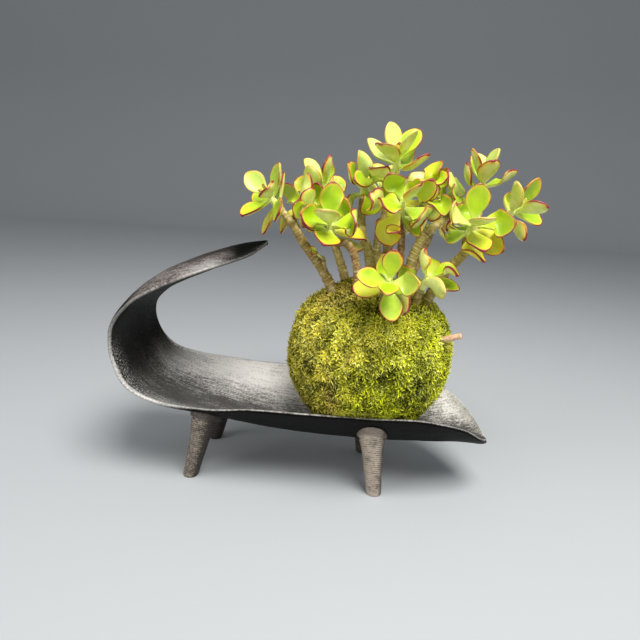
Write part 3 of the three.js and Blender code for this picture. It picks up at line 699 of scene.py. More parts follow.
def tray_skin(wall, rim, rows=420, across=44, bend=6):
    """The tray's skin. At t along and v across, its middle surface is the station's point plus the
    half width times v in y, plus rise * v^2 into the curl, which is the way along turned a quarter
    turn. The skin stands half the wall from it on either side, and the wall thins towards the rims
    with v^4. Each rim is a half circle. A few tenths of a millimetre of noise make it hand built."""
    t = np.linspace(0, 1, rows)
    x, z, half, shift, near, far = curve_through(TRAY_STATIONS, t).T[..., None]
    along = unit(way_along(TRAY_STATIONS, t)[:, :2])
    inward = stacked(along[:, 1], 0, -along[:, 0])[:, None]
    waver = value_noise(stacked(t * TRAY_WAVER["often"], 0, 0), 1, 5)[:, None]
    half = half + TRAY_WAVER["far"] * waver * np.minimum(half / TRAY_WAVER["narrow"], 1)
    v = np.sin(np.linspace(-np.pi / 2, np.pi / 2, across))
    turn = np.linspace(np.pi / 2, -np.pi / 2, bend + 2)[1:-1]
    face, edge_turn = np.ones(across), np.ones(bend)
    v_ring = np.concatenate([v, edge_turn, v[::-1], -edge_turn])
    up = np.concatenate([face, np.sin(turn), -face, -np.sin(turn)])
    out = np.concatenate([0 * face, np.cos(turn), 0 * face, np.cos(turn)])
    spare = np.minimum(rim / 2, half * 0.8)
    reach = (half - spare) * v_ring
    rise = np.where(v_ring < 0, near, far)
    slope = rise * TRAY_RISE_CURVE * np.sign(v_ring) * np.abs(v_ring) ** (TRAY_RISE_CURVE - 1)
    slope = (slope / half)[..., None]
    back = np.array([0, 1, 0])
    sideways = unit(back + slope * inward)
    normal = unit(inward - slope * back)
    middle = stacked(x, shift + reach, z)
    middle += inward * (rise * np.abs(v_ring) ** TRAY_RISE_CURVE)[..., None]
    depth = np.minimum(mix(wall, rim, v_ring**4) / 2, half)
    points = middle + normal * (depth * up + noises(middle, TRAY_DENTS) * (1 - out))[..., None]
    points += sideways * (np.sign(v_ring) * spare * out)[..., None]
    length = np.concatenate([[0], np.cumsum(np.hypot(np.diff(x, axis=0), np.diff(z, axis=0)))])
    from_rim = (half - np.abs(reach)) * (1 - out)
    paint = stacked(np.clip(from_rim / RIM_REACH, 0, 1), (up + 1) / 2, t[:, None], (v_ring + 1) / 2)
    sweep = stacked(length[:, None], reach + shift, up * FACES_APART)
    return sheath(points, paint, sweep)


def foot_skin(place, lean, collar_at, slope, pitch, columns=56, rows=190):
    """A turned foot: its radius grows from tip to neck with a power of the height, flares below a
    groove, swells into a rolled collar and goes on into the tray's wall. A sine of the height makes
    the throwing ridges. It leans and tilts more the higher it gets, so its end stays flat."""
    neck = FOOT["neck"] + FOOT["flare"]
    top = collar_at + FOOT["collar_height"]
    bevel = np.array(FOOT_BEVEL)
    height = np.concatenate([bevel[:, 0], np.linspace(1, top, rows), top + np.array([0.6, 3, 8])])
    radius = mix(FOOT["tip"], FOOT["neck"], np.clip(height / collar_at, 0, 1) ** FOOT["taper"])
    radius = radius + FOOT["flare"] * smooth(collar_at - FOOT["flare_height"], collar_at, height)
    half_collar = FOOT["collar_height"] / 2
    roll = np.sqrt(np.clip(1 - ((height - collar_at - half_collar) / half_collar) ** 2, 0, 1))
    collar = neck + (FOOT["collar"] - neck) * roll
    radius = np.maximum(radius, np.where(height > collar_at, collar, 0))
    radius -= FOOT["groove"] * bell(height - collar_at + FOOT["groove_below"], FOOT["groove_width"])
    radius[: len(bevel)] -= bevel[:, 1]
    height = height[:, None]
    turn = circle(columns)
    slow, quick = FOOT["wander"]
    wave = height + slow * np.sin(turn + place[0]) + quick * np.sin(3 * turn + place[1])
    depth = smooth(1, 5, height) * (1 - smooth(collar_at - 2, collar_at, height))
    ridge = np.sin(2 * np.pi * wave / pitch) * depth
    patchy = 0.5 + noises(stacked(turn * 4, wave, 0), FOOT_PATCHES)
    shape = radius[:, None] + FOOT["ridge"] * ridge * patchy
    across, deep = shape * np.cos(turn), shape * np.sin(turn)
    high = height / collar_at
    dented = 1 + noises(stacked(across, deep, height), FOOT_DENTS) / FOOT["neck"]
    x = place[0] + across * dented + lean[0] * high
    y = place[1] + deep * dented + lean[1] * high
    z = height + (slope[0] * across + slope[1] * deep) * high
    limit = tray_underside(x, y) - FOOT["clear"]
    z = np.where(limit > 0, np.minimum(z, limit), z)
    # Painted light: feet further right are paler.
    pale = smooth(-100, 0, place[0])
    # Painted light and shade: brightest on the side of the foot that faces out to the front or back, a
    # little to the left, darkest on the side opposite.
    painted_side_light = (1 + np.cos(turn - np.arctan2(place[1], -12))) / 2
    return sheath(stacked(x, y, z), stacked((ridge + 1) / 2, height / top, pale, painted_side_light))


# ---- moss
def ball_points(directions, inset):
    """Points of the moss ball in these directions: a superellipse of power 2.2, flatter on top,
    that swells and dips by products of sines, taken inwards by the inset. Its underside hangs
    over to the left."""
    bend = 2 / BALL["full"]
    x, y, z = np.moveaxis(directions, -1, 0)
    flat = np.hypot(x, y)
    spread = np.where(flat > 0, flat**bend / np.maximum(flat, 1e-9), 0)
    swell = np.sin(5 * x + 1) * np.sin(4 * y + 2) + 0.6 * np.sin(9 * z + 4 * x)
    radius = BALL["radius"] - inset + BALL["lump"] * swell
    height = np.where(z > 0, BALL["crown"], BALL["sole"]) - inset + BALL["lump"] * swell
    hang = BALL["sag"] * np.maximum(0, -z)
    z = np.sign(z) * np.abs(z) ** bend * height
    return stacked(x * spread * radius - hang, y * spread * radius, z) + np.array(BALL["centre"])


def moss_fields(points):
    """Greenness, deadness and painted light at points of the ball: broad noise that is greener to the
    right and browner at the left and round the stems, with a dead streak low at the front. Painted
    light makes it brighter at the left and the right, and painted shade darker on top, under the
    shoots, and low down over the tray."""
    x, y, z = np.moveaxis(points - np.array(BALL["centre"]), -1, 0)
    broad = noises(points, MOSS_SHADES)
    green = smooth(-0.9, 0.9, broad + x / 45 - z / 130)
    crown = smooth(34, 56, z) * smooth(20, -20, x - 4) * smooth(-0.6, 0.5, broad)
    left = smooth(-12, -48, x)
    streak = bell(x + 30 + 0.12 * z, 3.2) * bell(z + 24, 15) * (y < 0)
    patches = smooth(0.55, 1.1, noises(points, MOSS_PATCHES))
    dead = np.clip(0.75 * crown + 0.20 * left + streak + 0.5 * patches, 0, 1)
    # Painted light and shade: brighter at both sides, darker on top and low down.
    sunny = 0.16 * smooth(20, 55, np.abs(x)) - 0.20 * smooth(-12, -45, z) - 0.28 * smooth(34, 52, z)
    return green, dead, sunny


def moss_floor(points, wall):
    """The points, drawn in where they would hang over a rim of the tray, and lifted where they
    would sink into it."""
    x, y, z = np.moveaxis(points, -1, 0)
    _, bottom, half, shift, near, far = tray_station(x)
    rim = bottom + np.where(y < shift, near, far)
    over = smooth(rim + OVER_RIM["from"], rim + OVER_RIM["to"], z)
    limit = half - OVER_RIM["inside"] + OVER_RIM["spread"] * over
    y = shift + np.clip(y - shift, -limit, limit)
    return stacked(x, y, np.maximum(z, tray_underside(x, y) + wall / 2 + GAP))


def moss_bed(depth, wall, rows=110, columns=180):
    """The skin that the sprigs stand on: the ball taken inwards, with its cushions, on a grid of
    latitude and longitude."""
    pole = np.pi / 2 - 0.01
    latitude = np.linspace(-pole, pole, rows)[:, None]
    turn = circle(columns)
    way = stacked(np.cos(latitude) * np.cos(turn), np.cos(latitude) * np.sin(turn), np.sin(latitude))
    outside = ball_points(way, 0)
    points = ball_points(way, depth) + way * noises(outside, MOSS_CUSHIONS)[..., None]
    green, dead, _ = moss_fields(outside)
    paint = stacked(BED_SHADE, noises(outside, MOSS_SPECKLE) + 0.5, green, dead)
    return sheath(moss_floor(points, wall), paint)


def sprig_roots(count, depth, wall):
    """Where the sprigs stand: a golden-angle spiral over the ball with a little jitter, less the
    places inside the tray and inside the stems."""
    i = np.arange(count) + 0.5
    z = 1 - 2 * i / count
    turn = i * np.pi * (3 - np.sqrt(5))
    flat = np.sqrt(1 - z**2)
    way = stacked(flat * np.cos(turn), flat * np.sin(turn), z)
    way = unit(way + SPRIG["jitter"] * three_draws(i, 1))
    outside = ball_points(way, 0)
    roots = ball_points(way, depth) + way * noises(outside, MOSS_CUSHIONS)[:, None]
    free = roots[:, 2] > tray_underside(roots[:, 0], roots[:, 1]) + wall / 2
    for radius, route in all_rods():
        line = curve_through(route, np.linspace(0, 0.5, 60))
        near = np.linalg.norm(roots[:, None] - line[None], axis=-1).min(axis=1)
        free &= near > radius
    return way[free], outside[free], roots[free]


def sprig_blades(way, roots, blades, length, width, seed):
    """Star-like sprigs: each blade leans out from the sprig's own axis, bends further out half way
    up and ends in a point. Five points and two faces a blade."""
    n = np.arange(len(way)) + seed
    b = np.arange(blades)
    axis = unit(way + SPRIG["tilt"] * three_draws(n, 31))
    east = unit(np.cross(axis, np.array([0.31, 0.17, 0.93])))
    north = np.cross(axis, east)
    axis, n = axis[:, None], n[:, None]
    radial = spoke(2 * np.pi * (b / blades) + SPRIG["turn"] * draw(n, 34 + b),
                   east[:, None], north[:, None])
    lean = np.radians(SPRIG["lean"] + SPRIG["lean_spread"] * draw(n, 54 + b))
    stray = 1 + SPRIG["stray"] * np.abs(draw(n, 7)) ** 5
    reach = length * (1 + SPRIG["length_spread"] * draw(n, 74 + b)) * stray
    first = spoke(lean, axis, radial)
    second = spoke(lean + SPRIG["bend"], axis, radial)
    across = unit(np.cross(first, axis) + SPRIG["twist"] * draw(n, 94 + b)[..., None] * axis)
    base = np.broadcast_to(roots[:, None], first.shape)
    knee = base + first * (SPRIG["knee"] * reach)[..., None]
    tip = knee + second * ((1 - SPRIG["knee"]) * reach)[..., None]
    half = across * (width / 2)
    foot = SPRIG["foot"] * half
    points = np.stack([base - foot, base + foot, knee - half, knee + half, tip], axis=2)
    return points.reshape(-1, 3)


def sprig_skin(way, outside, roots, look, wall, seed):
    """The skin of many sprigs, with paint that rises from the foot of each blade to its tip, from
    painted shade to the moss's colour, and less so in the hollows between cushions.
    """
    blades = look.blades
    points = sprig_blades(way, roots, blades, look.blade_length * 1000, look.blade_width * 1000, seed)
    count = len(way) * blades
    start = (np.arange(count) * 5)[:, None]
    faces = [start + np.array([[0, 1, 3, 2]]), start + np.array([[2, 3, 4]])]
    green, dead, sunny = moss_fields(outside)
    # The sprig's draw leans to the bright or deep colour with the painted light and shade.
    chance = np.clip(draw(np.arange(len(way)) + seed, 41) / 2 + 0.5 + sunny, 0, 1)
    # Painted shade: a blade rises less far out of it in the hollows between cushions.
    bright = SPRIG["bright"] + SPRIG["bright_on_cushion"] * noises(outside, MOSS_CUSHIONS)
    paint = np.repeat(stacked(bright, chance, green, dead), blades * 5, axis=0)
    rise = np.tile([0, 0, SPRIG["knee"], SPRIG["knee"], 1], count)
    paint[:, 0] = np.clip(rise * paint[:, 0], 0, 1)
    return moss_floor(points, wall), faces, paint, None


# ---- stems
def head_frame(name):
    """A head's centre, its axis, two directions square to that, and its size against a typical
    head's."""
    centre, axis, longest, _, _ = HEADS[name]
    axis = unit(np.array(axis, float))
    east = unit(np.cross([0, 1, 0], axis))
    return np.array(centre), axis, east, np.cross(axis, east), longest / TYPICAL_LEAF


def full_route(route, end):
    """A stem's route, carried on to the seat of its head so that it meets it square."""
    centre, axis, _, _, small = head_frame(end)
    seat = centre - axis * (CORE["below"] * small + GAP)
    return np.vstack([route, seat - axis * CORE["approach"] * small, seat])


def all_rods():
    """Every rod of every shoot: its radius and full route."""
    return [(radius, full_route(route, end))
            for _, rods in SHOOTS.values() for radius, end, route in rods]


def rod_skin(route, radii, detail, columns=20, spacing=0.5, scars=0.0, green=0.0):
    """A round rod: rings square to a smooth route, of a radius that goes evenly from the first to
    the second, with noise. Scars is the mean distance between leaf scars, which are swollen rings
    with a groove above; 0 leaves them out."""
    length = np.linalg.norm(np.diff(route, axis=0), axis=1).sum()
    t = np.linspace(0, 1, max(int(length / spacing), 8))
    centre = curve_through(route, t)[:, None]
    ahead = unit(way_along(route, t))
    side = np.array([1, 0, 0.01]) - ahead * ahead[:, :1]
    side = unit(side - ahead * dot(side, ahead)[:, None])
    turn = circle(columns)
    t = t[:, None]
    radius = mix(radii[0], radii[1], t) + 0 * turn
    way = spoke(turn, side[:, None], np.cross(ahead, side)[:, None])
    points = centre + way * radius[..., None]
    along = t * length + SCAR["seam"] * np.sin(turn + 9 * draw(length, 3))
    mark = np.zeros_like(radius)
    if scars:
        place, swell = 0.0, np.zeros_like(radius)
        for n in range(int(length / scars * 2)):
            place += scars * (1 + SCAR["spread"] * draw(n, length))
            swell += bell(along - place, SCAR["ring"]) * (0.75 + 0.25 * draw(n, 8))
            mark += bell(along - place - SCAR["above"], SCAR["groove"]) * (0.8 + 0.2 * draw(n, 9))
        radius = radius * (1 + detail * (swell - SCAR["depth"] * mark))
    radius = radius * (1 + detail * noises(points, BARK_LUMPS))
    points = centre + way * radius[..., None]
    paint = stacked(np.clip(mark, 0, 1), t, green, 1)
    return sheath(points, paint, stacked(along, turn * radii[0], 0))


# ---- leaves
def hindrances(name):
    """What the leaves of a head keep off: planes half way to each other head (a point and a
    normal each), and balls (a centre and a radius each) for the moss and the stems."""
    centre = np.array(HEADS[name][0], float)
    others = np.array([head[0] for other, head in HEADS.items() if other != name], float)
    planes = np.stack([(centre + others) / 2, unit(others - centre)], axis=1)
    centres, radii = [np.array(BALL["centre"], float)], [BALL["radius"] + BALL["lump"]]
    t = np.arange(BERTH["stem_points"] + 1) / BERTH["stem_points"]
    for radius, route in all_rods():
        points = curve_through(route, t)
        clear = np.linalg.norm(points - centre, axis=1) > BERTH["own_stem"]
        centres.extend(points[clear])
        radii.extend(mix(radius, STEM_TOP, t[clear]))
    return planes, np.array(centres), np.array(radii)


def steer(point, heading, side, half, things):
    """Turns the headings of leaves, and in front of a plane also their widths, along what they
    come near. The press grows evenly from 0 to 1 as the room shrinks, and takes that much of the
    heading's part towards the thing away."""
    planes, centres, radii = things

    def turned(heading, side, toward, room, flat):
        press = np.clip(1 - (room - BERTH["margin"]) / BERTH["reach"], 0, 1)[:, None]
        heading = unit(heading - toward * (np.maximum(dot(heading, toward), 0)[:, None] * press))
        if flat:
            side = unit(side - toward * (dot(side, toward)[:, None] * press))
        return heading, unit(side - heading * dot(side, heading)[:, None])

    near = BERTH["margin"] + BERTH["reach"]
    for middle, toward in planes:
        gap = dot(middle - point, toward)
        if (gap - half).min() < near:
            heading, side = turned(heading, side, toward, gap - half * np.abs(dot(side, toward)), True)
    away = np.linalg.norm(centres[None] - point[:, None], axis=-1) - radii
    for n in np.nonzero(away.min(axis=0) < near)[0]:
        heading, side = turned(heading, side, unit(centres[n] - point), away[:, n], False)
    return heading, side


def outline(u):
    """Half the width of a blade at u from root to tip, for a width of 1: a sine up to the shoulder
    and a power of a cosine after it, which closes to a small point."""
    shoulder = LEAF["shoulder"]
    rise = np.sin(np.pi / 2 * np.clip(u / shoulder, 0, 1) ** LEAF["waist"])
    fall = np.clip((u - shoulder) / (1 - shoulder), 0, 1)
    end = np.clip(np.cos(np.pi / 2 * fall ** LEAF["full"]), 0, 1) ** LEAF["blunt"]
    return np.where(u < shoulder, mix(LEAF["root"], 1, rise), np.maximum(LEAF["tip"], end)) / 2


def grow_leaves(name):
    """The midribs of a head's leaves: opposite pairs up its axis, each a quarter turn from the one
    below. Each midrib starts along its slope, curls up evenly and is steered clear. It gives the
    points, sides and normals at every step, and each leaf's length, cup, pair and seed."""
    centre, axis, east, north, small = head_frame(name)
    _, _, longest, (first, last), turn = HEADS[name]
    k = np.repeat(np.arange(first, last + 1), 2)
    way = np.tile([0, 1], last - first + 1)
    seed = 20 * list(HEADS).index(name) + 2 * k + way
    outward = spoke(np.radians(turn + 90 * k + 180 * way + VARY["turn"] * draw(seed, 1)), east, north)
    length = longest * PAIRS[k, 2] * (1 + VARY["length"] * draw(seed, 2))
    slope = np.radians(PAIRS[k, 0] + LIFTS.get(name, 0) + VARY["slope"] * draw(seed, 3))
    bend = np.radians(PAIRS[k, 1] + VARY["curl"] * draw(seed, 4)) / LEAF["steps"]
    cup = LEAF["cup"] + VARY["cup"] * draw(seed, 5)
    point = centre + axis * (LEAF["internode"] * (k - MIDDLE_PAIR) * small)[:, None]
    point = point + outward * CORE["root"] * small
    side = np.cross(axis, outward)
    heading = spoke(slope, outward, axis)
    things = hindrances(name)
    steps = []
    for i in range(LEAF["steps"] + 1):
        normal = np.cross(heading, side)
        steps.append((point, side, normal))
        half = length * LEAF["width"] * outline(np.array(i / LEAF["steps"]))
        heading, side = steer(point, spoke(bend, heading, normal), side, half, things)
        point = point + heading * (length / LEAF["steps"])[:, None]
    return (*(np.stack(values, axis=1) for values in zip(*steps)), length, cup, k, seed)


def leaf_skin(name, thick, rows=30, columns=22):
    """The leaves of a head. Round the section, v is a cosine across the blade; the skin stands cup
    * v^2 above the midrib, plus or minus half the thickness times a rounded sine. Rows lie closer
    towards the tip, so that its end is round."""
    *ribs, length, cup, k, seed = grow_leaves(name)
    u = 1 - (1 - np.linspace(0, 1, rows)) ** LEAF_SKIN["crowd"]
    place = u * LEAF["steps"]
    i = np.clip(np.floor(place).astype(int), 0, LEAF["steps"] - 1)
    rib, side, normal = (mix(line[:, i], line[:, i + 1], (place - i)[:, None]) for line in ribs)
    side, normal = unit(side)[:, :, None], unit(normal)[:, :, None]
    turn = circle(columns)
    v = np.cos(turn)
    lift = np.sign(np.sin(turn)) * np.abs(np.sin(turn)) ** LEAF_SKIN["round"]
    length, cup = length[:, None], cup[:, None]
    half = length * LEAF["width"] * outline(u)
    half = half * (1 + LEAF_SKIN["waver"] * value_noise(stacked(u * 5, seed[:, None], 0), 1, 61))
    deep = thick * np.minimum(1, length / LEAF["small"]) * (1 - LEAF_SKIN["thin"] * u**3)
    deep = np.minimum(deep, half * 1.1)[..., None]
    rise = (cup * half)[..., None] * v**2 + deep / 2 * lift
    half = half[..., None]
    skin = rib[:, :, None] + side * (half * v)[..., None] + normal * rise[..., None]
    from_margin = half * (1 - np.abs(v)) + 0.35 * deep * np.abs(lift)
    from_tip = ((1 - u) * length)[..., None]
    edge = np.clip(np.minimum(from_margin, from_tip) / LEAF_SKIN["margin"], 0, 1)
    chance = np.clip((draw(seed, 71) / 2 + 0.5) * 0.8 + np.where(k <= 1, 0.25, 0.0), 0, 1)
    return sheath(skin, stacked(edge, (lift + 1) / 2, chance[:, None, None], u[:, None]))


def core_skin(name, rows=16, columns=14):
    """The green core of a head: a rod along its axis that keeps its width up to the middle and
    then narrows to the tip."""
    centre, axis, east, north, small = head_frame(name)
    height = np.linspace(-CORE["below"], CORE["above"], rows)[:, None]
    radius = mix(CORE["radius"], CORE["tip"], smooth(0, CORE["above"], height))
    way = spoke(circle(columns), east, north)
    points = centre + small * (height[..., None] * axis + radius[..., None] * way)
    return sheath(points, stacked(*CORE_PAINT) + 0 * points[..., :1])


# ---- settings
def colour(name, description, default):
    """A colour setting."""
    return FloatVectorProperty(name=name, description=description, default=default,
                               subtype="COLOR", size=3, min=0, max=1)


def size(name, description, default):
    """A length setting, in metres."""
    return FloatProperty(name=name, description=description, default=default, min=0,
                         unit="LENGTH", precision=5)


def power(name, description, default):
    """The power of a light, in watts."""
    return FloatProperty(name=name, description=description, default=default, min=0, unit="POWER")


class TrayLook(bpy.types.PropertyGroup):
    """Sizes and colours of the tray and its feet."""

    wall: size("Wall", "Thickness of the tray along its middle", 0.0042)
    rim: size("Rim", "Thickness of the tray at its rims", 0.0028)
    # The band is scuffed rim and painted highlight.
    wear_and_highlight: size("Wear", "Width of the bright worn band along the rims", 0.0020)
    ridge_pitch: size("Ridges", "Distance between the throwing ridges of a foot", 0.0016)
    floor_dark: colour("Floor dark", "Dark streaks of the floor", (0.10, 0.093, 0.085))
    # Painted reflection: the floor's light streaks and its pale far side.
    floor_streaks_and_reflection: colour("Floor light", "Light streaks of the floor", (0.80, 0.76, 0.71))
    # Painted shade: the near-black inside of the curl.
    curl_shade: colour("Curl", "Inside of the curl", (0.006, 0.006, 0.005))
    under: colour("Underside", "Outside of the floor", (0.003, 0.003, 0.002))
    # Also the painted shade beyond the crest's middle.
    crest_dark: colour("Crest dark", "Dark streaks of the curl's crest", (0.030, 0.024, 0.020))
    # Painted sheen along the curl's crest.
    crest_sheen: colour("Crest light", "Light streaks of the curl's crest", (0.36, 0.31, 0.285))
    # Scuffed rims, sandy specks, and the painted highlights along the rims and on the beak.
    worn_and_highlight: colour("Worn rim", "Worn edge of the rims", (0.60, 0.575, 0.54))
    # Also the painted shade in the grooves and round the sides of the feet.
    clay_dark: colour("Clay dark", "Grooves of the feet", (0.040, 0.030, 0.022))
    # Also the painted highlight on the ridges and the lit side of the feet.
    clay_light: colour("Clay light", "Ridges of the feet", (0.52, 0.43, 0.34))
    clay_glint: colour("Clay grain", "Pale grains in the feet", (0.62, 0.57, 0.52))


class MossLook(bpy.types.PropertyGroup):
    """Sizes and colours of the moss."""

    sprigs: IntProperty(name="Sprigs", description="Sprigs over the whole ball", default=17500, min=100)
    blades: IntProperty(name="Blades", description="Blades in a sprig", default=7, min=3)
    blade_length: size("Blade length", "Length of a blade", 0.0040)
    blade_width: size("Blade width", "Width of a blade", 0.00125)
    bed_depth: size("Bed depth", "Depth of the bed below the outside of the moss", 0.0040)
    lime: colour("Lime", "Fresh moss", (0.82, 0.86, 0.022))
    olive: colour("Olive", "Older moss", (0.89, 0.78, 0.07))
    # The sprigs' draws lean to bright where the ball has painted light and to deep where it has painted
    # shade.
    bright: colour("Bright", "The brightest sprigs", (0.98, 0.99, 0.22))
    deep: colour("Deep", "The darkest sprigs", (0.26, 0.30, 0.01))
    dead: colour("Dead", "Dead moss", (0.66, 0.48, 0.11))
    shade: colour("Shade", "Between the blades", (0.035, 0.038, 0.005))


class StemLook(bpy.types.PropertyGroup):
    """Sizes and colours of the stems and the twig."""

    scar_spacing: size("Scar spacing", "Mean distance between leaf scars", 0.0038)
    relief: FloatProperty(name="Relief", description="Height of the scars, of the radius",
                          default=0.13, min=0, max=0.3)
    brown: colour("Brown", "Bark of the brown stems", (0.27, 0.125, 0.040))
    olive: colour("Olive", "Bark of the green stems", (0.40, 0.34, 0.065))
    pale: colour("Pale", "Pale mottles", (0.66, 0.55, 0.27))
    scar: colour("Scar", "Scars and cracks", (0.10, 0.06, 0.022))
    young: colour("Young", "Young bark under a head", (0.45, 0.50, 0.12))
    twig: colour("Twig", "Skin of the cut twig", (0.80, 0.54, 0.33))
    twig_dark: colour("Twig dark", "Darker places of the twig", (0.58, 0.34, 0.20))
    twig_cut: colour("Twig cut", "Cut end of the twig", (0.85, 0.64, 0.44))


class LeafLook(bpy.types.PropertyGroup):
    """Sizes and colours of the leaves."""

    thick: size("Thickness", "Thickness of a leaf along its middle", 0.0032)
    upper: colour("Upper", "Upper face", (0.31, 0.48, 0.004))
    upper_fresh: colour("Upper fresh", "Fresher parts of the upper face", (0.45, 0.60, 0.010))
    under_leaf: colour("Under", "Lower face, with its bloom", (0.84, 0.87, 0.32))
    under_green: colour("Under green", "Greener parts of the lower face", (0.56, 0.66, 0.10))
    yellow: colour("Yellow", "Older leaves", (0.78, 0.70, 0.05))
    amber: colour("Amber", "Band inside the margin", (0.88, 0.46, 0.03))
    margin: colour("Margin", "Margin of the leaf", (0.24, 0.018, 0.018))


class StageLook(bpy.types.PropertyGroup):
    """The floor and the lights."""

    floor: colour("Floor", "Floor and backdrop", (0.42, 0.435, 0.44))
    key: power("Key light", "Power of the main light", 21.0)
    fill: power("Fill light", "Power of the light from the left", 5.5)
    sky: FloatProperty(name="Sky", description="Strength of the light from all round",
                       default=0.42, min=0)


SETTINGS = {
    "kokedama_tray": TrayLook, "kokedama_moss": MossLook, "kokedama_stems": StemLook,
    "kokedama_leaves": LeafLook, "kokedama_stage": StageLook,
}


# ---- operators
class KOKEDAMA_OT_tray(bpy.types.Operator):
    """Make the tray, with its rounded rims, streaks, and scuffed edges that carry a painted highlight"""

    bl_idname = "kokedama.tray"
    bl_label = "Make Tray"

    def execute(self, context):
        look = context.scene.kokedama_tray
        skin = tray_skin(look.wall * 1000, look.rim * 1000)
        make_piece("scroll_tray", [skin], glaze_material(look), ["tray"])
        return {"FINISHED"}


class KOKEDAMA_OT_feet(bpy.types.Operator):
    """Make the four turned feet, with collars and throwing ridges"""

    bl_idname = "kokedama.feet"
    bl_label = "Make Feet"

    def execute(self, context):
        look = context.scene.kokedama_tray
        clay = clay_material(look)
        for foot, place in FEET.items():
            skin = foot_skin(*place, look.ridge_pitch * 1000)
            make_piece("turned_foot_" + foot, [skin], clay, ["foot_" + foot])
        return {"FINISHED"}


class KOKEDAMA_OT_moss(bpy.types.Operator):
    """Make the moss, a bed with thousands of sprigs, and finish the soil inside"""

    bl_idname = "kokedama.moss"
    bl_label = "Make Moss"

    def execute(self, context):
        look = context.scene.kokedama_moss
        wall = context.scene.kokedama_tray.wall * 1000
        moss = moss_material(look)
        depth = look.bed_depth * 1000
        make_piece("moss_bed", [moss_bed(depth, wall)], moss, ["moss_cover"])
        count = look.sprigs
        way, outside, roots = sprig_roots(count, depth, wall)
        sector = (np.arctan2(way[:, 1], way[:, 0]) / (2 * np.pi) % 1 * MOSS_SECTORS).astype(int)
        for n in range(MOSS_SECTORS):
            here = sector == n
            skin = sprig_skin(way[here], outside[here], roots[here], look, wall, SECTOR_SEED * n)
            make_piece(f"moss_sprigs_{n + 1}", [skin], moss, ["moss_cover"])
        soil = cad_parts["soil_ball"]
        soil.data.materials.clear()
        soil.data.materials.append(soil_material())
        return {"FINISHED"}


class KOKEDAMA_OT_stems(bpy.types.Operator):
    """Make the stems, with ring-like leaf scars, and the cut twig"""

    bl_idname = "kokedama.stems"
    bl_label = "Make Stems"

    def execute(self, context):
        look = context.scene.kokedama_stems
        bark = bark_material(look)
        for shoot, (green, rods) in SHOOTS.items():
            skins = []
            for radius, end, route in rods:
                top = STEM_TOP * min(1, HEADS[end][2] / LEAF["small"])
                skins.append(rod_skin(full_route(route, end), (radius, top), look.relief,
                                      scars=look.scar_spacing * 1000, green=green))
            make_piece("bark_stem_" + shoot, skins, bark, ["stem_" + shoot])
        route = np.array(TWIG["route"], float)
        skin = rod_skin(route, (TWIG["radius"], TWIG["tip"]), TWIG["relief"], spacing=0.4)
        skin[2][-1, 0] = 1               # the last point, in the middle of the cut
        make_piece("cut_twig", [skin], cut_wood_material(look), ["twig_stub"])
        return {"FINISHED"}


class KOKEDAMA_OT_leaves(bpy.types.Operator):
    """Make the leaf heads, pair by pair"""

    bl_idname = "kokedama.leaves"
    bl_label = "Make Leaves"

    def execute(self, context):
        look = context.scene.kokedama_leaves
        leaf_green = leaf_material(look)
        for head in HEADS:
            skins = [leaf_skin(head, look.thick * 1000), core_skin(head)]
            make_piece("fleshy_leaves_" + head, skins, leaf_green, ["leaves_" + head])
        return {"FINISHED"}


class KOKEDAMA_OT_stage(bpy.types.Operator):
    """Make the floor, the lights and the camera"""

    bl_idname = "kokedama.stage"
    bl_label = "Make Stage"

    def execute(self, context):
        look = context.scene.kokedama_stage
        make_floor(look)
        make_lights(context.scene, look)
        make_camera(context.scene)
        return {"FINISHED"}


# ---- stage
def make_floor(look):
    """A pale floor that turns up into a backdrop: a line, a quarter circle and a line, carried
    sideways. It faces up and to the front."""
    reach, back, bend, wall = 6.0, 2.6, 1.2, 4.0
    turn = np.linspace(0, np.pi / 2, 24)
    y = np.concatenate([[-reach], back + bend * np.sin(turn), [back + bend]])
    z = np.concatenate([[0], bend * (1 - np.cos(turn)), [wall]])
    points = [(x, a, b) for x in (-reach, reach) for a, b in zip(y, z)]
    rows = len(y)
    faces = [(i, i + rows, i + rows + 1, i + 1) for i in range(rows - 1)]
    mesh = bpy.data.meshes.new("studio_floor")
    mesh.from_pydata(points, [], faces)
    mesh.polygons.foreach_set("use_smooth", np.ones(len(faces), bool))
    g = Graph("studio_paper", Roughness=0.9, Specular_IOR_Level=0.2)
    darker = tuple(0.97 * c for c in look.floor)
    g.finish("Base Color", g.mix(g.noise(g.place(), 3, 2), darker, tuple(look.floor)))
    mesh.materials.append(g.material)
    new_object("studio_floor", mesh)


def stand(thing, right, up, back, place):
    """Puts a lamp or a camera at a place, looking away from back."""
    turn = np.eye(4)
    turn[:3] = np.stack([right, up, back, place], axis=1)
    thing.matrix_world = Matrix(turn.tolist())


def make_lights(scene, look):
    """A large soft key light above and to the right, a fill at the left, and an even sky."""
    for name, (width, place) in LIGHTS.items():
        lamp = bpy.data.lights.new(name + "_light", "AREA")
        lamp.energy = getattr(look, name)
        lamp.size = width
        back = unit(np.array(place) - np.array(LIGHTS_AIM))
        right = unit(np.cross([0, 0, 1], back))
        stand(new_object(name + "_light", lamp), right, np.cross(back, right), back, place)
    world = scene.world or bpy.data.worlds.new("studio")
    scene.world = world
    world.use_nodes = True
    sky = world.node_tree.nodes["Background"]
    sky.inputs["Color"].default_value = (0.93, 0.96, 1.0, 1)
    sky.inputs["Strength"].default_value = look.sky
    scene.view_settings.view_transform = "Standard"


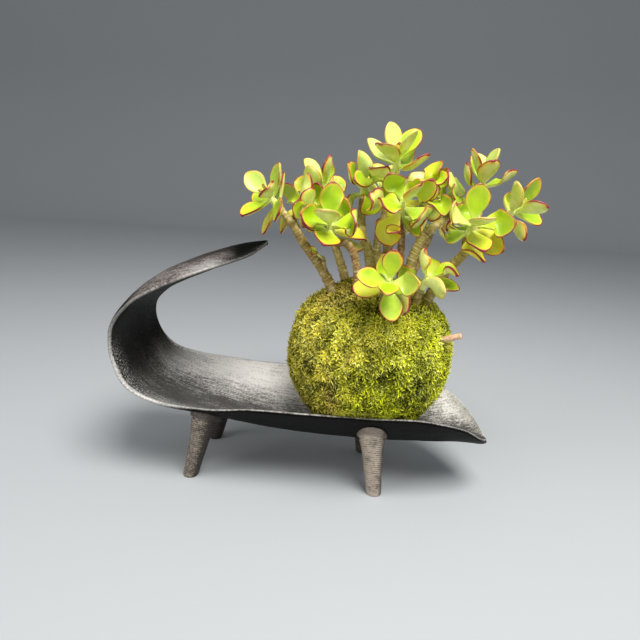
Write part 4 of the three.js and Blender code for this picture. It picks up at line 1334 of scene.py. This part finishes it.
def make_camera(scene):
    """The camera at the photograph's angle: forward is turned left by the yaw and down by the
    pitch, and then the right and up directions are rolled about it."""
    yaw, pitch, roll = np.radians(CAMERA["turned"])
    forward = np.array([-np.sin(yaw) * np.cos(pitch), np.cos(yaw) * np.cos(pitch), -np.sin(pitch)])
    level = np.array([np.cos(yaw), np.sin(yaw), 0])
    upright = np.cross(level, forward)
    right = level * np.cos(roll) + upright * np.sin(roll)
    up = upright * np.cos(roll) - level * np.sin(roll)
    lens = bpy.data.cameras.new("camera")
    lens.lens = CAMERA["lens"]
    lens.sensor_width = CAMERA["sensor"]
    lens.clip_start = 0.02
    scene.camera = new_object("camera", lens)
    stand(scene.camera, right, up, -forward, to_frame(CAMERA["at"]))


# ---- add-on
OPERATORS = (KOKEDAMA_OT_stage, KOKEDAMA_OT_tray, KOKEDAMA_OT_feet, KOKEDAMA_OT_moss,
             KOKEDAMA_OT_stems, KOKEDAMA_OT_leaves)


class KOKEDAMA_PT_panel(bpy.types.Panel):
    """Sizes, colours and makers of the kokedama"""

    bl_idname = "KOKEDAMA_PT_panel"
    bl_label = "Kokedama"
    bl_space_type = "VIEW_3D"
    bl_region_type = "UI"
    bl_category = "Kokedama"

    def draw(self, context):
        for operator in OPERATORS:
            self.layout.operator(operator.bl_idname)
        for name, group in SETTINGS.items():
            box = self.layout.box()
            box.label(text=group.__doc__.rstrip("."))
            for setting in group.__annotations__:
                box.prop(getattr(context.scene, name), setting)


def register():
    """Registers the settings, the operators and the panel."""
    for group in SETTINGS.values():
        bpy.utils.register_class(group)
    for name, group in SETTINGS.items():
        setattr(bpy.types.Scene, name, PointerProperty(type=group))
    for operator in (*OPERATORS, KOKEDAMA_PT_panel):
        bpy.utils.register_class(operator)


def unregister():
    """Takes them away again."""
    for operator in (*OPERATORS, KOKEDAMA_PT_panel):
        bpy.utils.unregister_class(operator)
    for name, group in SETTINGS.items():
        delattr(bpy.types.Scene, name)
        bpy.utils.unregister_class(group)


def main():
    """Makes the whole object."""
    register()
    for operator in OPERATORS:
        family, name = operator.bl_idname.split(".")
        getattr(getattr(bpy.ops, family), name)()


if __name__ == "__main__":
    main()
